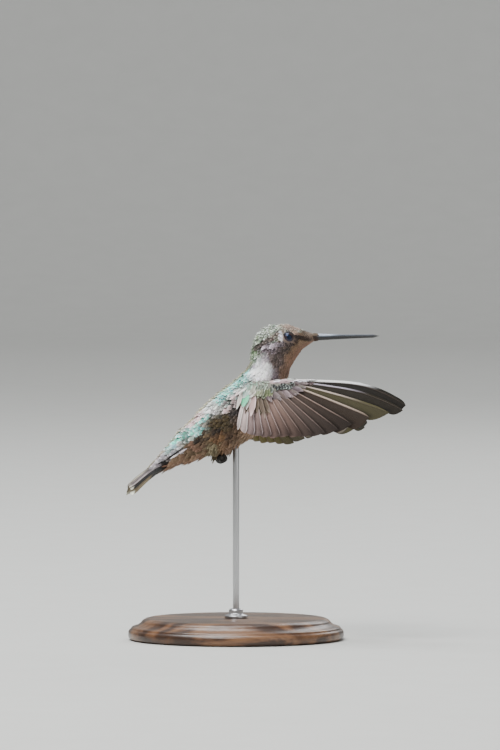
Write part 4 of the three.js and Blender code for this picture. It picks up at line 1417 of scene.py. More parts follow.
# How light the vanes inside the fourth primary are, by number, near their roots, at their
# middles and near their ends. Their edges change half as much.
TONE_NUMBERS = (4, 9, 11, 13, 14, 15)
TONE_PLACES = (0.15, 0.5, 0.9)
TONES = (
    (2.1, 2.1, 1.8, 1.5, 1.6, 1.7), (1.1, 1.1, 0.88, 0.88, 1.35, 1.3),
    (0.62, 0.24, 0.20, 0.24, 0.45, 0.5),
)


def outline(width, length, taper, bluntness):
    """The width of a vane by its place along the shaft, rounded off over its taper."""

    def width_at(place):
        end = np.clip(1 - (length - place) / taper, 0, 1)
        root = np.clip(place / length / 0.22, 0, 1)
        return width * (0.45 + 0.55 * root) * (1 - end**bluntness)

    return width_at


def barb_reach(width_at, starts, sweep):
    """How far out each barb runs before it meets the vane's outline."""
    low, high = np.zeros(len(starts)), np.full(len(starts), 8.0)
    for _ in range(24):
        middle = (low + high) / 2
        inside = width_at(starts + middle * sweep) > middle
        low, high = np.where(inside, middle, low), np.where(inside, high, middle)
    return low


def distances(shaft):
    return np.concatenate([[0], np.cumsum(np.linalg.norm(np.diff(shaft, axis=0), axis=1))])


def shaft_ways(shaft):
    """The ways onward along a shaft and aside from it, at each of its points."""
    onward = unit(np.gradient(shaft, axis=0))
    return onward, np.stack([-onward[:, 1], onward[:, 0]], -1)


def shaft_shares(count):
    """Places along a shaft, closer together towards its tip."""
    return 1 - (1 - np.linspace(0, 0.999, count)) ** 1.35


def quill(shaft, leading, trailing, base=0.0):
    """A feather's grid of points over its plane, and the place of each in its own vanes."""
    along = distances(shaft)
    onward, aside = shaft_ways(shaft)
    share = along / along[-1]
    columns, places = [], []
    for sign, parts, sweep, width_at in (
        (-1, LEADING_SHARES, LEADING_SWEEP, leading),
        (1, TRAILING_SHARES, TRAILING_SWEEP, trailing),
    ):
        reach = barb_reach(width_at, along, sweep)
        for part in parts:
            out = reach * part
            flat = shaft + onward * (out * sweep)[:, None] + aside * (sign * out)[:, None]
            height = base - FEATHER_TILT * sign * out - FEATHER_CUP * out**2
            if part == 0:
                height = height + SHAFT_RISE * (1 - 0.8 * share)
            columns.append(np.column_stack([flat, height]))
            room = SHAFT_AT if sign < 0 else 1 - SHAFT_AT
            places.append(np.column_stack([SHAFT_AT + sign * room * part + share * 0, share]))
    return np.stack(columns, axis=1), np.stack(places, axis=1)


def piled(name, feathers, finish, slot, *nodes):
    """One piece made of feathers, each a grid in its plane with its tints above and below."""
    vertices, faces, vane_places, bake_places, tints, edges = [], [], [], [], [], []
    for number, feather in enumerate(feathers):
        points, quads, source = shell(feather["grid"], FEATHER_THICKNESS)
        points = feather["surface"](points)
        underneath = np.repeat(np.arange(len(quads)) >= len(quads) // 2, 4)
        if enclosed(points, quads) < 0:
            quads = quads[:, ::-1]
        x, y = feather["places"].reshape(-1, 2)[source][quads.ravel()].T
        strip = (0.03 + 0.44 * x + 0.5 * underneath + number) / len(feathers)
        vane_places.append(np.column_stack([x, y]))
        bake_places.append(np.column_stack([strip, 0.01 + 0.98 * y]))
        faces.append(quads + sum(map(len, vertices)))
        vertices.append(points)
        tints += [feather["tint"].reshape(-1, 3), feather["under"][1:-1, 1:-1].reshape(-1, 3)]
        edges.append(feather["edge"].reshape(-1, 3)[source])
    faces = np.concatenate(faces).tolist()
    piece = new_piece(name, to_world(np.concatenate(vertices)), faces, finish, RIM_ANGLE)
    for layer_name, places in (("vane", vane_places), ("OFBake", bake_places)):
        layer = piece.data.uv_layers.new(name=layer_name)
        layer.data.foreach_set("uv", np.concatenate(places).ravel())
    for key, values in (("tint", tints), ("edge", edges)):
        add_attribute(piece.data, key, "FLOAT_COLOR", with_alpha(np.concatenate(values)))
    fix(piece, slot, *nodes)


def field_of(numbers, table, number):
    """A colour of a table of some feathers' colours, read at any feather's number."""
    return tinted(*[np.interp(number, numbers, column) for column in zip(*table)])


def flight_shaft(side, number):
    """The line of a wing feather's shaft, bowed forward on the outermost ones."""
    root, tip = FEATHER_ROOTS[number], FEATHER_TIPS[number]
    if side == SIDES["left"]:
        tip = tip + LEFT_SHIFTS.get(number, (0.0, 0.0))
    share = shaft_shares(QUILL_ROWS)
    bow = np.interp(number, range(len(BOWS)), BOWS) * np.sin(math.pi * share**BOW_LEAN)
    shaft = root + (tip - root) * share[:, None]
    shaft[:, 1] -= bow
    return shaft


def flight_feather(side, number, draw):
    """One wing feather, with painted shadow where its inner neighbour stands over it."""
    shaft = flight_shaft(side, number)
    outer = max(0.0, 1 - number / (PRIMARIES - 1))
    length = distances(shaft)[-1]
    taper, bluntness = END_TAPERS[number], BLUNTNESS[number]
    trailing = outline(TRAILING_WIDTHS[number], length, taper, bluntness)
    leading = outline(LEADING_WIDTHS[number], length, taper * 0.8, bluntness)
    grid, places = quill(shaft, leading, trailing)
    tone = np.exp(draw.normal(0, 0.05))
    tint, edge, under = (
        np.ones(grid.shape) * field_of(TINT_NUMBERS, table, number)
        for table in (FLIGHT_TINTS, FLIGHT_EDGES, UNDER_TINTS)
    )
    tint *= tone
    under *= tone
    along = places[..., 1:]
    if number == 0:
        behind = (places[..., :1] - SHAFT_AT) / FIRST_SHADE_WIDTH
        tint *= 1 - FIRST_SHADE * np.exp(-(behind**2)) * faded(along, 0.5, 0.8)
    if number == FOURTH:
        edge[:] = tinted(*FOURTH_EDGE)
    if number > FOURTH:
        tones = [np.interp(number, TONE_NUMBERS, row) for row in TONES]
        along_tone = np.interp(along, TONE_PLACES, tones)
        tint *= along_tone
        edge *= np.sqrt(along_tone)
    if number < PRIMARIES:
        tint *= 1 - 0.3 * along**2 * outer
        dulled = 1 - faded(along, *EDGE_FADE[min(number, len(EDGE_FADE) - 1)])
        edge += (tint * 1.5 - edge) * dulled
    edge = np.where(places[..., :1] < SHAFT_AT, edge, tint * 1.5)
    # Painted shadow along the leading edge of the inner neighbour, which stands over this feather's
    # trailing vane.
    if number + 1 < len(FEATHER_TIPS):
        neighbour = flight_shaft(side, number + 1)
        inner_edge = neighbour - shaft_ways(neighbour)[1] * (LEADING_WIDTHS[number + 1] * 0.9)
        gaps = np.linalg.norm(grid[..., None, :2] - inner_edge, axis=-1).min(-1)
        tint *= 1 - EDGE_SHADOW * np.exp(-((gaps / SHADOW_REACH) ** 2))[..., None]
    return {
        "surface": lambda points: wing_point(side, points), "grid": grid, "places": places,
        "tint": tint, "edge": edge, "under": under,
    }


flight_finish, place, shader, spot, x, y = vane_finish("flight_vane", 0.2)
streak = spot.scaled((3, 130, 1)).noise(1.0, 3.0)
barb = ((y + place.noise(900.0) * 0.004) * 900).sine()
# The pale leading fringe: partly the feather's own pale edge and partly a painted highlight where
# its raised leading edge catches the light.
fringe = (1 - x.step(0.10, 0.19)) * 0.92
shaft_line = 1 - abs(x - SHAFT_AT).step(0.008, 0.030)
trailing_rim = x.step(0.93, 1.0) * 0.35
dulled = (streak * 0.34 + barb * 0.04).blend(place.stored("tint"), (0.030, 0.024, 0.022, 1))
rimmed = fringe.top(trailing_rim).blend(dulled, place.stored("edge"))
shafted = (shaft_line * 0.55).blend(rimmed, (0.060, 0.036, 0.026, 1))
shafted.feed(shader, "Base Color")
(0.42 + streak * 0.2).feed(shader, "Roughness")
bump(barb * 0.4 + streak * 0.6, shader, 0.3, 0.0001)

draw = np.random.default_rng(31)
for side_name, side in SIDES.items():
    feathers = [flight_feather(side, number, draw) for number in range(len(FEATHER_TIPS))]
    for name, few in (("primaries", feathers[:PRIMARIES]), ("secondaries", feathers[PRIMARIES:])):
        node = f"wing_{side_name}_{name}"
        piled(f"flight_{name}_{side_name}", few, flight_finish, "flight_feathers", node)

# Coverts: the small feathers that clothe the arm and hand and cover the roots of the flight
# feathers, in rows like tiles: scales along the leading edge, lesser and median coverts, long
# greater coverts, and the big soft feathers of the shoulder. They are paler and duller below.
COVERT_PITCH = 0.8
COVERT_TRIALS = 9000
COVERT_ANGLES = (
    (-5.0, 96), (-2.5, 84), (0.0, 68), (3.0, 50), (5.0, 38), (8.0, 24), (12.0, 10), (18.0, 3),
)
COVERT_LIFT = 0.25
COVERT_AREA = (-4.8, 15.5), (-4.4, 3.4)
COVERT_REACH = ((-5, 3.2), (2.2, 2.4), (3.6, 0.2), (6, -0.6), (15, -2.4))
MEDIAN_LOOK = (130, 134, 108), (192, 196, 170)
GREEN_MEDIAN_LOOK = (114, 122, 84), (174, 182, 138)
GREEN_MEDIANS = 1.2
MEDIAN_SPANS = (-3.4, 3.2)
UNDER_COVERTS = (132, 122, 104), (168, 158, 140)
GREATER_LENGTHS = (
    5.0, 5.2, 5.4, 5.6, 5.6, 5.2, 5.0, 4.6, 3.8, 4.4, 7.6, 7.4, 7.0, 7.0, 7.0, 6.6,
)
GREATER_LOOKS = (
    ((132, 114, 100), (184, 166, 150)), ((82, 68, 50), (128, 110, 90)),
    ((128, 110, 100), (178, 158, 146)), ((88, 76, 52), (136, 122, 92)),
)
GREATER_WIDTH = 1.35
GREATER_ROOT = (0.25, 0.35)
HAND_COVERTS = (132, 116, 118), (166, 150, 152)
PRIMARY_COVERTS = (142, 124, 126), (170, 154, 156)
STRIP_SPANS = (1.6, 15.2)
STRIP_PITCH = 0.8
STRIP_ROWS = (0.3, 0.65, 1.0)
STRIP_LENGTH = 3.2
STRIP_WIDTH = 1.2
STRIP_ENDS = (15.2, 12.5, 8.5)
STRIP_LOOKS = ((246, 244, 240), (234, 228, 238), (204, 182, 184))

# Single feathers of the shoulder: root and tip by span and chord, width, tint, edge, gloss, lift.
SHOULDER_FEATHERS = (
    ((-0.9, 1.2), (0.7, 8.9), 1.5, (124, 106, 88), (186, 166, 146), 0.0, 0.60),
    ((-1.8, 1.8), (-0.6, 8.9), 2.2, (224, 186, 190), (252, 226, 226), 0.0, 1.20),
    ((-2.6, 1.6), (-1.6, 9.0), 1.5, (196, 182, 194), (236, 228, 238), 0.0, 0.80),
    ((-3.6, 1.2), (-2.7, 7.9), 2.0, (216, 206, 204), (248, 242, 238), 0.0, 0.60),
    ((-4.9, 1.8), (-3.6, 7.3), 2.7, (128, 250, 198), (172, 254, 220), 0.12, 1.00),
    ((-4.9, 0.6), (-4.1, 5.2), 2.8, (196, 234, 222), (234, 250, 244), 0.12, 1.05),
    ((-6.2, 2.6), (-6.1, 7.8), 1.3, (224, 216, 206), (250, 246, 240), 0.0, 0.80),
    ((-2.4, 0.2), (-2.0, 4.2), 2.1, (168, 174, 160), (226, 226, 214), 0.3, 0.95),
    ((-3.9, -0.4), (-3.7, 3.0), 2.1, (146, 168, 152), (214, 226, 216), 0.4, 1.10),
    ((-4.2, 1.2), (-6.9, 4.4), 0.9, (246, 240, 232), (255, 253, 248), 0.0, 1.30),
    ((-2.9, -0.4), (-2.2, 4.8), 2.3, (252, 252, 246), (255, 255, 253), 0.0, 1.45),
    ((-1.6, -0.2), (-0.7, 4.4), 1.5, (206, 202, 190), (240, 238, 228), 0.0, 1.15),
)


def flesh_height(span, chord):
    """How far the bare arm's face stands off the wing's middle plane."""
    front = arm_at(span, ARM_FRONTS)
    half = (arm_at(span, ARM_EDGES) - front) * FLESH_SHARE / 2
    reach = np.clip((chord - front - FLESH_INSET - half) / half, -1, 1)
    ends = faded(span, FLESH_END - 0.6, FLESH_END)
    return flesh_depth(span) / 2 * np.sqrt(1 - reach**2) * ends


def laid(side, face, roots, tips, width, lift, tint, edge, gloss, kind, draw, mottle=0.1):
    """Feathers laid from roots to tips, given by span and chord, over one face of a wing."""
    roots, tips = np.asarray(roots, float), np.asarray(tips, float)
    root_height = face * np.maximum(flesh_height(*roots.T) - 0.06, 0.04)
    gap = roots[:, 1] - arm_at(roots[:, 0], ARM_FRONTS)
    lift = lift * (1 - 0.75 * faded(gap, 0.5, 1.6))
    tip_height = face * (arm_height(*tips.T) * 0.8 + lift)
    start = wing_point(side, np.column_stack([roots, root_height]))
    end = wing_point(side, np.column_stack([tips, tip_height]))
    step = np.column_stack([roots + (0.05, 0), root_height])
    spanwise = unit(wing_point(side, step) - start)
    lie = end - start
    length = np.linalg.norm(lie, axis=1)
    lie /= length[:, None]
    outward = np.tile(UPPER_AXIS * (1, side, 1) * face, (len(roots), 1))
    forward = faded(gap, 0.25, 1.3)[:, None]
    outward = outward * (1 - 0.8 * forward) - CHORD_AXIS * (1, side, 1) * forward
    outward = square_to(lie, outward)
    outward += spanwise * draw.normal(0, 0.05, (len(roots), 1))
    mottle = np.broadcast_to(mottle, (len(roots),))[:, None]
    shade = np.exp(draw.normal(0, 1, (len(roots), 1)) * mottle)
    hue = np.exp(draw.normal(0, 0.04, (len(roots), 3)))
    patch = np.column_stack([
        roots[:, 0] / 60 + 0.15 + 0.5 * (face < 0), roots[:, 1] / 20 + 0.3, roots[:, 0] * 0
    ])
    return planted(
        start, lie, unit(outward), width, length, patch, kind, tint * shade * hue,
        edge * shade**0.7, gloss,
    )


def covert_way(span):
    """The way in which the coverts lie: chordwise at the arm and outwards at the hand."""
    turn = np.radians(np.interp(span, *zip(*COVERT_ANGLES)))
    return np.stack([np.cos(turn), np.sin(turn)], -1)


def covert_colours(span, chord, face):
    """The tints, edges and gloss of the small coverts by their place on the wing."""
    paint = Markings(np.column_stack([span, chord * 0, chord]), span * 0, span * 0)
    whole = np.ones(len(span))
    if face < 0:
        paint.wash(whole, (132, 122, 104), (170, 160, 140))
        return paint
    front = chord - arm_at(span, ARM_FRONTS)
    paint.wash(whole, (116, 126, 100), (190, 198, 172), 0.35, 0.35)
    paint.wash(faded(chord, 0.6, 2.0), (130, 140, 124), (206, 214, 200), 0.3, 0.38)
    paint.wash(faded(span, -2.8, -0.8), (150, 186, 170), (218, 230, 218), 0.4, 0.25)
    paint.wash(faded(-span, -5.6, -4.4), (104, 86, 88), (146, 126, 126), 0.0, 0.12)
    dark = faded(np.abs(front - 1.5), 0.6, 1.1) * faded(np.abs(span - 5.9), 2.8, 3.8)
    paint.wash(dark, (58, 60, 60), (168, 180, 174), 0.1, 0.5)
    return paint


def greater_coverts(side, face, draw):
    """The long coverts over the roots of the flight feathers, two to each feather."""
    for number in range(len(FEATHER_TIPS)):
        shaft = flight_shaft(side, number)
        along = distances(shaft)
        secondary = number >= PRIMARIES
        reach = GREATER_LENGTHS[number] * (1 if face > 0 else 0.8)
        tip = np.array([np.interp(reach, along, shaft[:, axis]) for axis in (0, 1)])
        for half in (0, 1):
            look = PRIMARY_COVERTS if number > FOURTH + 1 else HAND_COVERTS
            if secondary:
                look = GREATER_LOOKS[(2 * number + half) % len(GREATER_LOOKS)]
            if face < 0:
                look = UNDER_COVERTS
            tint, edge = (tinted(*colour) for colour in look)
            aside = np.array([-1.0, 0.1]) * (1.05 * half if secondary else 0.6 * half)
            ends = [shaft[0] + GREATER_ROOT], [tip + aside]
            lift = 0.14 + 0.04 * half + 0.18 * (not secondary)
            look = tint, edge, 0.0, BROAD_VANE
            yield laid(side, face, *ends, GREATER_WIDTH, lift, *look, draw)


def leading_strip(side, face, draw):
    """Long pale scales that lie along the leading edge, each over the root of the next."""
    spans = np.repeat(np.arange(*STRIP_SPANS, STRIP_PITCH), len(STRIP_ROWS))
    rows = np.tile(STRIP_ROWS, len(spans) // len(STRIP_ROWS))
    fronts = arm_at(spans, ARM_FRONTS)
    fronts_ahead = arm_at(spans + STRIP_LENGTH, ARM_FRONTS)
    roots = np.column_stack([spans, fronts + rows])
    tips = np.column_stack([spans + STRIP_LENGTH, fronts_ahead + rows * 0.9])
    tint = np.tile([tinted(*look) for look in STRIP_LOOKS], (len(spans) // len(STRIP_ROWS), 1))
    kept = spans < np.tile(STRIP_ENDS, len(spans) // len(STRIP_ROWS))
    look = tint[kept], tint[kept] * 1.15, 0.0, BROAD_VANE
    return laid(side, face, roots[kept], tips[kept], STRIP_WIDTH, COVERT_LIFT, *look, draw, 0.05)


def small_coverts(side, face, draw):
    """The scales of the leading edge and the lesser coverts, spread over the arm and hand."""

    def plane(span, chord):
        return np.column_stack([span, chord, span * 0])

    def even_pitch(span, chord):
        return np.full(len(span), COVERT_PITCH)

    span, chord, _ = scattered(draw, plane, *COVERT_AREA, even_pitch, COVERT_TRIALS)
    front = chord - arm_at(span, ARM_FRONTS)
    clear = np.where(span > STRIP_SPANS[0], 0.9, 0.1)
    kept = (front > clear) & (chord < np.interp(span, *zip(*COVERT_REACH)))
    span, chord, front = span[kept], chord[kept], front[kept]
    near_front = faded(front, 0.2, 1.6)[:, None]
    way = unit(covert_way(span) * (1 - near_front) + near_front * (1.0, 0.12))
    roots = np.column_stack([span, chord])
    paint = covert_colours(span, chord, face)
    reach = np.where(front < 1.5, 2.0, 2.3) + draw.normal(0, 0.15, len(span))
    kinds = draw.integers(*FIRM_VANES, len(span))
    look = (paint.tint, paint.edge, paint.gloss)
    return laid(
        side, face, roots, roots + way * reach[:, None], 1.25, COVERT_LIFT, *look, kinds, draw,
        paint.mottle,
    )


def wing_coverts(side, draw):
    """All the small feathers of one wing, in layers from the greater coverts outwards."""
    for face in (1, -1):
        yield from greater_coverts(side, face, draw)
        spans = np.linspace(*MEDIAN_SPANS, 10)
        roots = np.column_stack([spans, 0.7 - 0.05 * spans])
        tips = roots + covert_way(spans) * 3.2
        for group, look in (
            (spans < GREEN_MEDIANS, MEDIAN_LOOK), (spans >= GREEN_MEDIANS, GREEN_MEDIAN_LOOK)
        ):
            tint, edge = (tinted(*colour) for colour in (look if face > 0 else UNDER_COVERTS))
            few = roots[group], tips[group]
            yield laid(side, face, *few, 1.5, 0.30, tint, edge, 0.2, BROAD_VANE, draw, 0.3)
        yield small_coverts(side, face, draw)
        yield leading_strip(side, face, draw)
    for root, tip, width, tint, edge, gloss, lift in SHOULDER_FEATHERS:
        tint, edge = tinted(*tint), tinted(*edge)
        yield laid(side, 1, [root], [tip], width, lift, tint, edge, gloss, BROAD_VANE, draw)


draw = np.random.default_rng(53)
for side_name, side in SIDES.items():
    layers = list(wing_coverts(side, draw))
    grown(f"coverts_{side_name}", joined(layers), (0.04, 0.05, 0.06))

# Tail: ten rectrices, closed to a narrow fan. The middle pair lies on top, and each feather
# lies with its inner vane under its neighbour's. The outer ones are dark with pale tips.
TAIL_ROOT = np.array([-21.2, 0.0, -10.2])
TAIL_ALONG = np.array([-0.8, 0.0, -0.6])
TAIL_UPWARD = np.array([-0.6, 0.0, 0.8])
TAIL_LENGTH = 13.1
TAIL_ROOT_HALF = 2.2
TAIL_TIP_HALF = 5.6
TAIL_CROWN = 0.45
TAIL_ROOT_DROP = 1.6
TAIL_TIP_DROP = 3.0
TAIL_ROLL = 0.06
TAIL_PAIRS = 5
TAIL_ROWS = 30
TAIL_TURN = (0.38, 0.46)
TAIL_TIPS = (0.86, 0.93)
TAIL_UNDER = (186, 174, 150)
TAIL_LEADING = (1.15, 0.9, 0.85, 0.75, 0.7)
TAIL_CUTS = (1.0, 0.6, 0.4, 0.2, -0.7)
# Each pair's tint near its root, beyond its middle and at its tip, and its fringe.
TAIL_TINTS = (
    ((134, 128, 118), (132, 122, 118), (206, 200, 184), (200, 194, 172)),
    ((112, 104, 104), (110, 100, 102), (180, 172, 162), (150, 140, 138)),
    ((132, 122, 124), (126, 114, 118), (206, 198, 184), (168, 158, 158)),
    ((24, 20, 22), (18, 16, 18), (206, 202, 184), (30, 26, 26)),
    ((34, 32, 20), (112, 98, 70), (240, 242, 222), (122, 108, 80)),
)


def tail_half(share):
    """Half the tail's width at a share of its length."""
    return TAIL_ROOT_HALF + (TAIL_TIP_HALF - TAIL_ROOT_HALF) * share**0.8


def tail_point(side, points):
    """Points of the tail given by distance along it, minus the distance aside, and height."""
    along, inward, height = np.asarray(points, float).T
    share = np.clip(along / TAIL_LENGTH, 0, 1)
    half_width = tail_half(share)
    edge_drop = TAIL_ROOT_DROP + (TAIL_TIP_DROP - TAIL_ROOT_DROP) * share
    drop = edge_drop * (inward / half_width) ** 2
    lift = height + TAIL_CROWN * np.sin(math.pi * share) - drop - TAIL_ROLL * inward * side
    made = TAIL_ROOT + along[:, None] * TAIL_ALONG + lift[:, None] * TAIL_UPWARD
    return made - inward[:, None] * np.array([0, side, 0])


def tail_feather(side, pair, draw):
    """One rectrix of a side, by its pair counted from the middle."""
    outer = (pair + 0.45) / TAIL_PAIRS
    length = TAIL_LENGTH - TAIL_CUTS[pair]
    along = shaft_shares(TAIL_ROWS) * length
    shaft = np.column_stack([along - 1.0, -outer * tail_half(along / TAIL_LENGTH) * 0.94])
    total = distances(shaft)[-1]
    leading = outline(TAIL_LEADING[pair], total, 2.6, 2.6)
    trailing = outline(1.9 if pair else 0.9, total, 2.8, 2.6)
    grid, places = quill(shaft, leading, trailing, base=0.14 - 0.03 * pair)
    main, beyond, end, fringe = TAIL_TINTS[pair]
    tint = np.ones(grid.shape) * tinted(*main) * np.exp(draw.normal(0, 0.06))
    tint += (tinted(*beyond) - tint) * (1 - faded(places[..., 1:], *TAIL_TURN))
    tip_share = 1 - faded(places[..., 1:], *TAIL_TIPS)
    tint += (tinted(*end) - tint) * tip_share
    edge = np.ones(grid.shape) * tinted(*fringe)
    edge += (tint - edge) * faded(places[..., 1:], *TAIL_TURN)
    edge += (tinted(*end) - edge) * tip_share
    return {
        "surface": lambda points: tail_point(side, points), "grid": grid, "places": places,
        "tint": tint, "edge": edge, "under": (tint + tinted(*TAIL_UNDER)) / 2,
    }


draw = np.random.default_rng(67)
rectrices = [
    tail_feather(side, pair, draw) for side in SIDES.values() for pair in range(TAIL_PAIRS)
]
piled("rectrices", rectrices, flight_finish, "flight_feathers", "tail")

# Thighs and vent: loose buff down, short round the legs and longer under the vent, which hides
# the thigh and hangs a little way over the foot. Its ends stand off, where the coat lies flat.
THIGH_TUFTS = 90
TUFT_REACH = (-0.3, 0.30)
TUFT_LENGTHS = (0.9, 1.4)
TUFT_WIDTH = 0.8
VENT_TUFTS = 90
VENT_PLACES = (11.9, 12.7)
VENT_DEGREES = (112, 168)
VENT_LENGTHS = (2.0, 3.7)
VENT_WIDTH = 0.9
THIGH_LOOK = (158, 124, 100), (196, 164, 142)
VENT_LOOK = (142, 128, 98), (170, 158, 126)
VENT_FRONT_LOOK = (140, 106, 78), (172, 136, 106)
# How far back, in x, the look of the front goes over into that of the vent.
VENT_FRONT = (3.2, 5.2)


def downy(roots, lie, outward, lengths, width, patch, tint, edge, draw):
    """Soft tufts on roots, given with their lie and the way outwards."""
    count = len(roots)
    lie = unit(lie + draw.normal(0, 0.12, (count, 3)))
    shade = np.exp(draw.normal(-0.05, 0.10, (count, 1)))
    kinds = draw.integers(*SOFT_VANES, count)
    upright = unit(square_to(lie, outward))
    return planted(roots, lie, upright, width, lengths, patch, kinds, tint * shade, edge * shade)


draw = np.random.default_rng(71)
shin = unit(PALM - HIP)
ahead = unit(np.cross(shin, (0.0, 1.0, 0.0)))
aside = np.cross(shin, ahead)
tufts = []
for side in SIDES.values():
    mirror = np.array([1, side, 1])
    share = draw.uniform(*TUFT_REACH, THIGH_TUFTS)
    turn = draw.uniform(-math.pi, math.pi, THIGH_TUFTS)
    radial = (ahead * np.cos(turn)[:, None] + aside * np.sin(turn)[:, None]) * mirror
    radius = 1.3 - (share + 0.5) / 1.2 - 0.1
    roots = (HIP + (PALM - HIP) * share[:, None]) * mirror + radial * radius[:, None]
    lengths = draw.uniform(*TUFT_LENGTHS, THIGH_TUFTS)
    patch = np.column_stack([0.8 + 0.15 * share, 0.9 + turn / 80 + 0.05 * side, share * 0])
    lie = shin * mirror + radial * 0.35
    look = [tinted(*colour) for colour in THIGH_LOOK]
    tufts.append(downy(roots, lie, radial, lengths, TUFT_WIDTH, patch, *look, draw))

    place = draw.uniform(*VENT_PLACES, VENT_TUFTS)
    angle = side * np.radians(draw.uniform(*VENT_DEGREES, VENT_TUFTS))
    back, outward = body_directions(place, angle)
    roots = body_point(place, angle) - outward * ROOT_DEPTH
    lie = back + outward * 0.25 - (0.0, 0.0, 1.2)
    lengths = draw.uniform(*VENT_LENGTHS, VENT_TUFTS)
    patch = body_patch(place, angle)
    front = faded(-roots[:, :1], *VENT_FRONT)
    look = [
        tinted(*colour) * (1 - front) + tinted(*front_colour) * front
        for colour, front_colour in zip(VENT_LOOK, VENT_FRONT_LOOK)
    ]
    tufts.append(downy(roots, lie, outward, lengths, VENT_WIDTH, patch, *look, draw))
grown("down_thighs", joined(tufts))
for shape in list(vanes.objects):
    bpy.data.objects.remove(shape)
bpy.data.collections.remove(vanes)

# Feet: short shanks and small toes in dark scaly skin, curled shut under the vent, three in
# front and one behind, each ending in a hooked claw of dark horn.
SHANK = (
    (0.50, 0.42), (0.65, 0.44), (0.78, 0.60), (0.88, 0.84), (0.98, 0.98), (1.08, 1.00),
    (1.18, 0.90), (1.27, 0.66), (1.32, 0.36),
)
TOE_RADIUS = 0.36
TOE_CURL = 1.1
TOE_START, TOE_END = 0.4, 3.7
TOE_ROWS, TOE_SIDES = 26, 12
TOE_PADS = 7
TOE_PAD_SWELL = 0.14
TOE_TAPER = 0.3
CLAW_LENGTH = 1.0
CLAW_ROWS, CLAW_SIDES = 12, 10
TOES = ((1, -0.55), (1, 0.0), (1, 0.55), (-1, 0.1))


def toe_path(side, way, aside, turns):
    """Points along a curled toe; a way of 1 is a front toe and -1 the hind one."""
    spread = aside * (0.5 + 0.5 * np.minimum(turns / 2, 1))
    made = [
        PALM[0] + way * TOE_CURL * np.sin(turns),
        side * PALM[1] + spread,
        PALM[2] - 0.2 + 0.8 * TOE_CURL * np.cos(turns),
    ]
    return np.stack(made, -1)


scute, place, shader = new_finish("foot_scales", Specular_IOR_Level=0.25)
scale = place.cells(4200.0)
scale.blend((0.016, 0.013, 0.010, 1), (0.005, 0.004, 0.004, 1)).feed(shader, "Base Color")
(0.42 + place.noise(2400.0) * 0.2).feed(shader, "Roughness")
bump(1 - scale, shader, 0.6, 0.0001)
claw_horn, place, shader = new_finish("claw_horn", Coat_Weight=0.4, Coat_Roughness=0.2)
layer = place.noise(3000.0)
layer.blend((0.010, 0.008, 0.007, 1), (0.034, 0.026, 0.020, 1)).feed(shader, "Base Color")
(0.25 + layer * 0.15).feed(shader, "Roughness")

for side_name, side in SIDES.items():
    mirror = np.array([1, side, 1])
    shank = [(HIP + (PALM - HIP) * share) * mirror for share, _ in SHANK]
    foot_parts = [tube(shank, [radius for _, radius in SHANK], 16)]
    claw_parts = []
    for way, aside in TOES:
        turns = np.linspace(TOE_START, TOE_END, TOE_ROWS)
        share = np.linspace(0, 1, TOE_ROWS)
        pads = 1 + TOE_PAD_SWELL * np.abs(np.sin(share * math.pi * TOE_PADS))
        radii = TOE_RADIUS * (1 - TOE_TAPER * share) * pads
        foot_parts.append(tube(toe_path(side, way, aside, turns), radii, TOE_SIDES))
        hook = np.linspace(TOE_END - 0.05, TOE_END + CLAW_LENGTH, CLAW_ROWS)
        taper = TOE_RADIUS * 0.6 * (1 - 0.94 * np.linspace(0, 1, CLAW_ROWS) ** 0.8)
        claw_parts.append(tube(toe_path(side, way, aside, hook), taper, CLAW_SIDES))
    foot = new_piece(f"foot_scaled_{side_name}", *gathered(foot_parts), scute, RIM_ANGLE)
    fix(foot, "foot", f"foot_{side_name}")
    claws = new_piece(f"claws_scaled_{side_name}", *gathered(claw_parts), claw_horn, RIM_ANGLE)
    fix(claws, "foot")

# Stage: a pale floor that sweeps up all round into a pale wall, and broad soft studio lights.
STAGE_FLAT = 2.7
STAGE_SWEEP = 0.9
STAGE_WALL = 2.6
STAGE_STEPS = 16
stage_profile = [(radius, 0.0) for radius in (0.001, 0.3, 1.0, STAGE_FLAT)]
for step in range(1, STAGE_STEPS + 1):
    turn = math.pi / 2 * step / STAGE_STEPS
    stage_profile.append(
        (STAGE_FLAT + STAGE_SWEEP * math.sin(turn), STAGE_SWEEP * (1 - math.cos(turn)))
    )
stage_profile.append((STAGE_FLAT + STAGE_SWEEP, STAGE_WALL))
STAGE_SIDES = 96
vertices = [
    (radius * math.cos(turn), radius * math.sin(turn), height)
    for radius, height in stage_profile for turn in circle(STAGE_SIDES)
]
faces = [tuple(range(STAGE_SIDES))]
for low in range(0, len(vertices) - STAGE_SIDES, STAGE_SIDES):
    faces += band(low + STAGE_SIDES, low, STAGE_SIDES)
paper, place, shader = new_finish("studio_paper", Roughness=0.85)
fibre = place.noise(60.0, 3.0)
fibre.blend((0.50, 0.50, 0.48, 1), (0.54, 0.54, 0.52, 1)).feed(shader, "Base Color")
floor = new_piece("studio_floor", vertices, faces, paper)


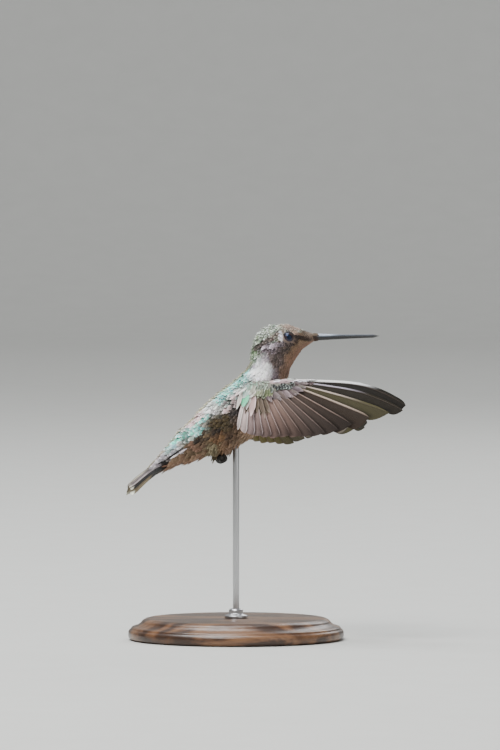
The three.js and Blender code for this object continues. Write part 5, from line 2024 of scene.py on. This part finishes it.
def soft_light(name, position, target, size, power, colour=(1, 1, 1)):
    light = bpy.data.lights.new(name, "AREA")
    light.shape = "DISK"
    light.size = size
    light.energy = power
    light.color = colour
    lamp = bpy.data.objects.new(name, light)
    lamp.location = position
    lamp.rotation_mode = "QUATERNION"
    lamp.rotation_quaternion = (Vector(target) - Vector(position)).to_track_quat("-Z", "Y")
    lamp.visible_camera = False
    bpy.context.scene.collection.objects.link(lamp)


BIRD_MIDDLE = (0.005, 0, 0.065)
soft_light("key", (-0.35, -0.75, 1.05), BIRD_MIDDLE, 0.6, 17.0, (1.0, 0.99, 0.97))
soft_light("top", (-0.25, 0.15, 1.25), BIRD_MIDDLE, 0.9, 22.0, (0.96, 0.99, 1.0))
soft_light("fill", (0.9, -0.9, 0.45), BIRD_MIDDLE, 0.8, 3.0, (1.0, 0.98, 0.95))
soft_light("back", (0.5, 1.1, 0.8), BIRD_MIDDLE, 0.7, 5.0)
soft_light("backdrop", (0, 1.3, 2.2), (0, 3.6, 0.9), 1.6, 34.0)
SKY_COLOUR = (0.9, 0.95, 1.0, 1)
SKY_STRENGTH = 0.36
world = bpy.data.worlds.new("studio")
bpy.context.scene.world = world
world.use_nodes = True
background = world.node_tree.nodes["Background"].inputs
background["Color"].default_value = SKY_COLOUR
background["Strength"].default_value = SKY_STRENGTH

# Camera: level with the bird's side and a little above it, from far enough to keep it flat.
CAMERA_DISTANCE = 2.0
CAMERA_ELEVATION = math.radians(2)
PIXELS_PER_METRE = 3600.0
FRAME_PIXELS = (500, 750)
BIRD_PIXEL = (236, 424)
camera_data = bpy.data.cameras.new("camera")
camera_data.lens = (
    camera_data.sensor_width * CAMERA_DISTANCE * PIXELS_PER_METRE / FRAME_PIXELS[1]
)
aim = Vector((
    (FRAME_PIXELS[0] / 2 - BIRD_PIXEL[0]) / PIXELS_PER_METRE,
    0,
    TRUNK_HEIGHT * MM + (BIRD_PIXEL[1] - FRAME_PIXELS[1] / 2) / PIXELS_PER_METRE,
))
backwards = Vector((0, -math.cos(CAMERA_ELEVATION), math.sin(CAMERA_ELEVATION)))
camera = bpy.data.objects.new("camera", camera_data)
camera.location = aim + backwards * CAMERA_DISTANCE
camera.rotation_mode = "QUATERNION"
camera.rotation_quaternion = (-backwards).to_track_quat("-Z", "Y")
camera_data.clip_end = 20
bpy.context.scene.collection.objects.link(camera)
bpy.context.scene.camera = camera
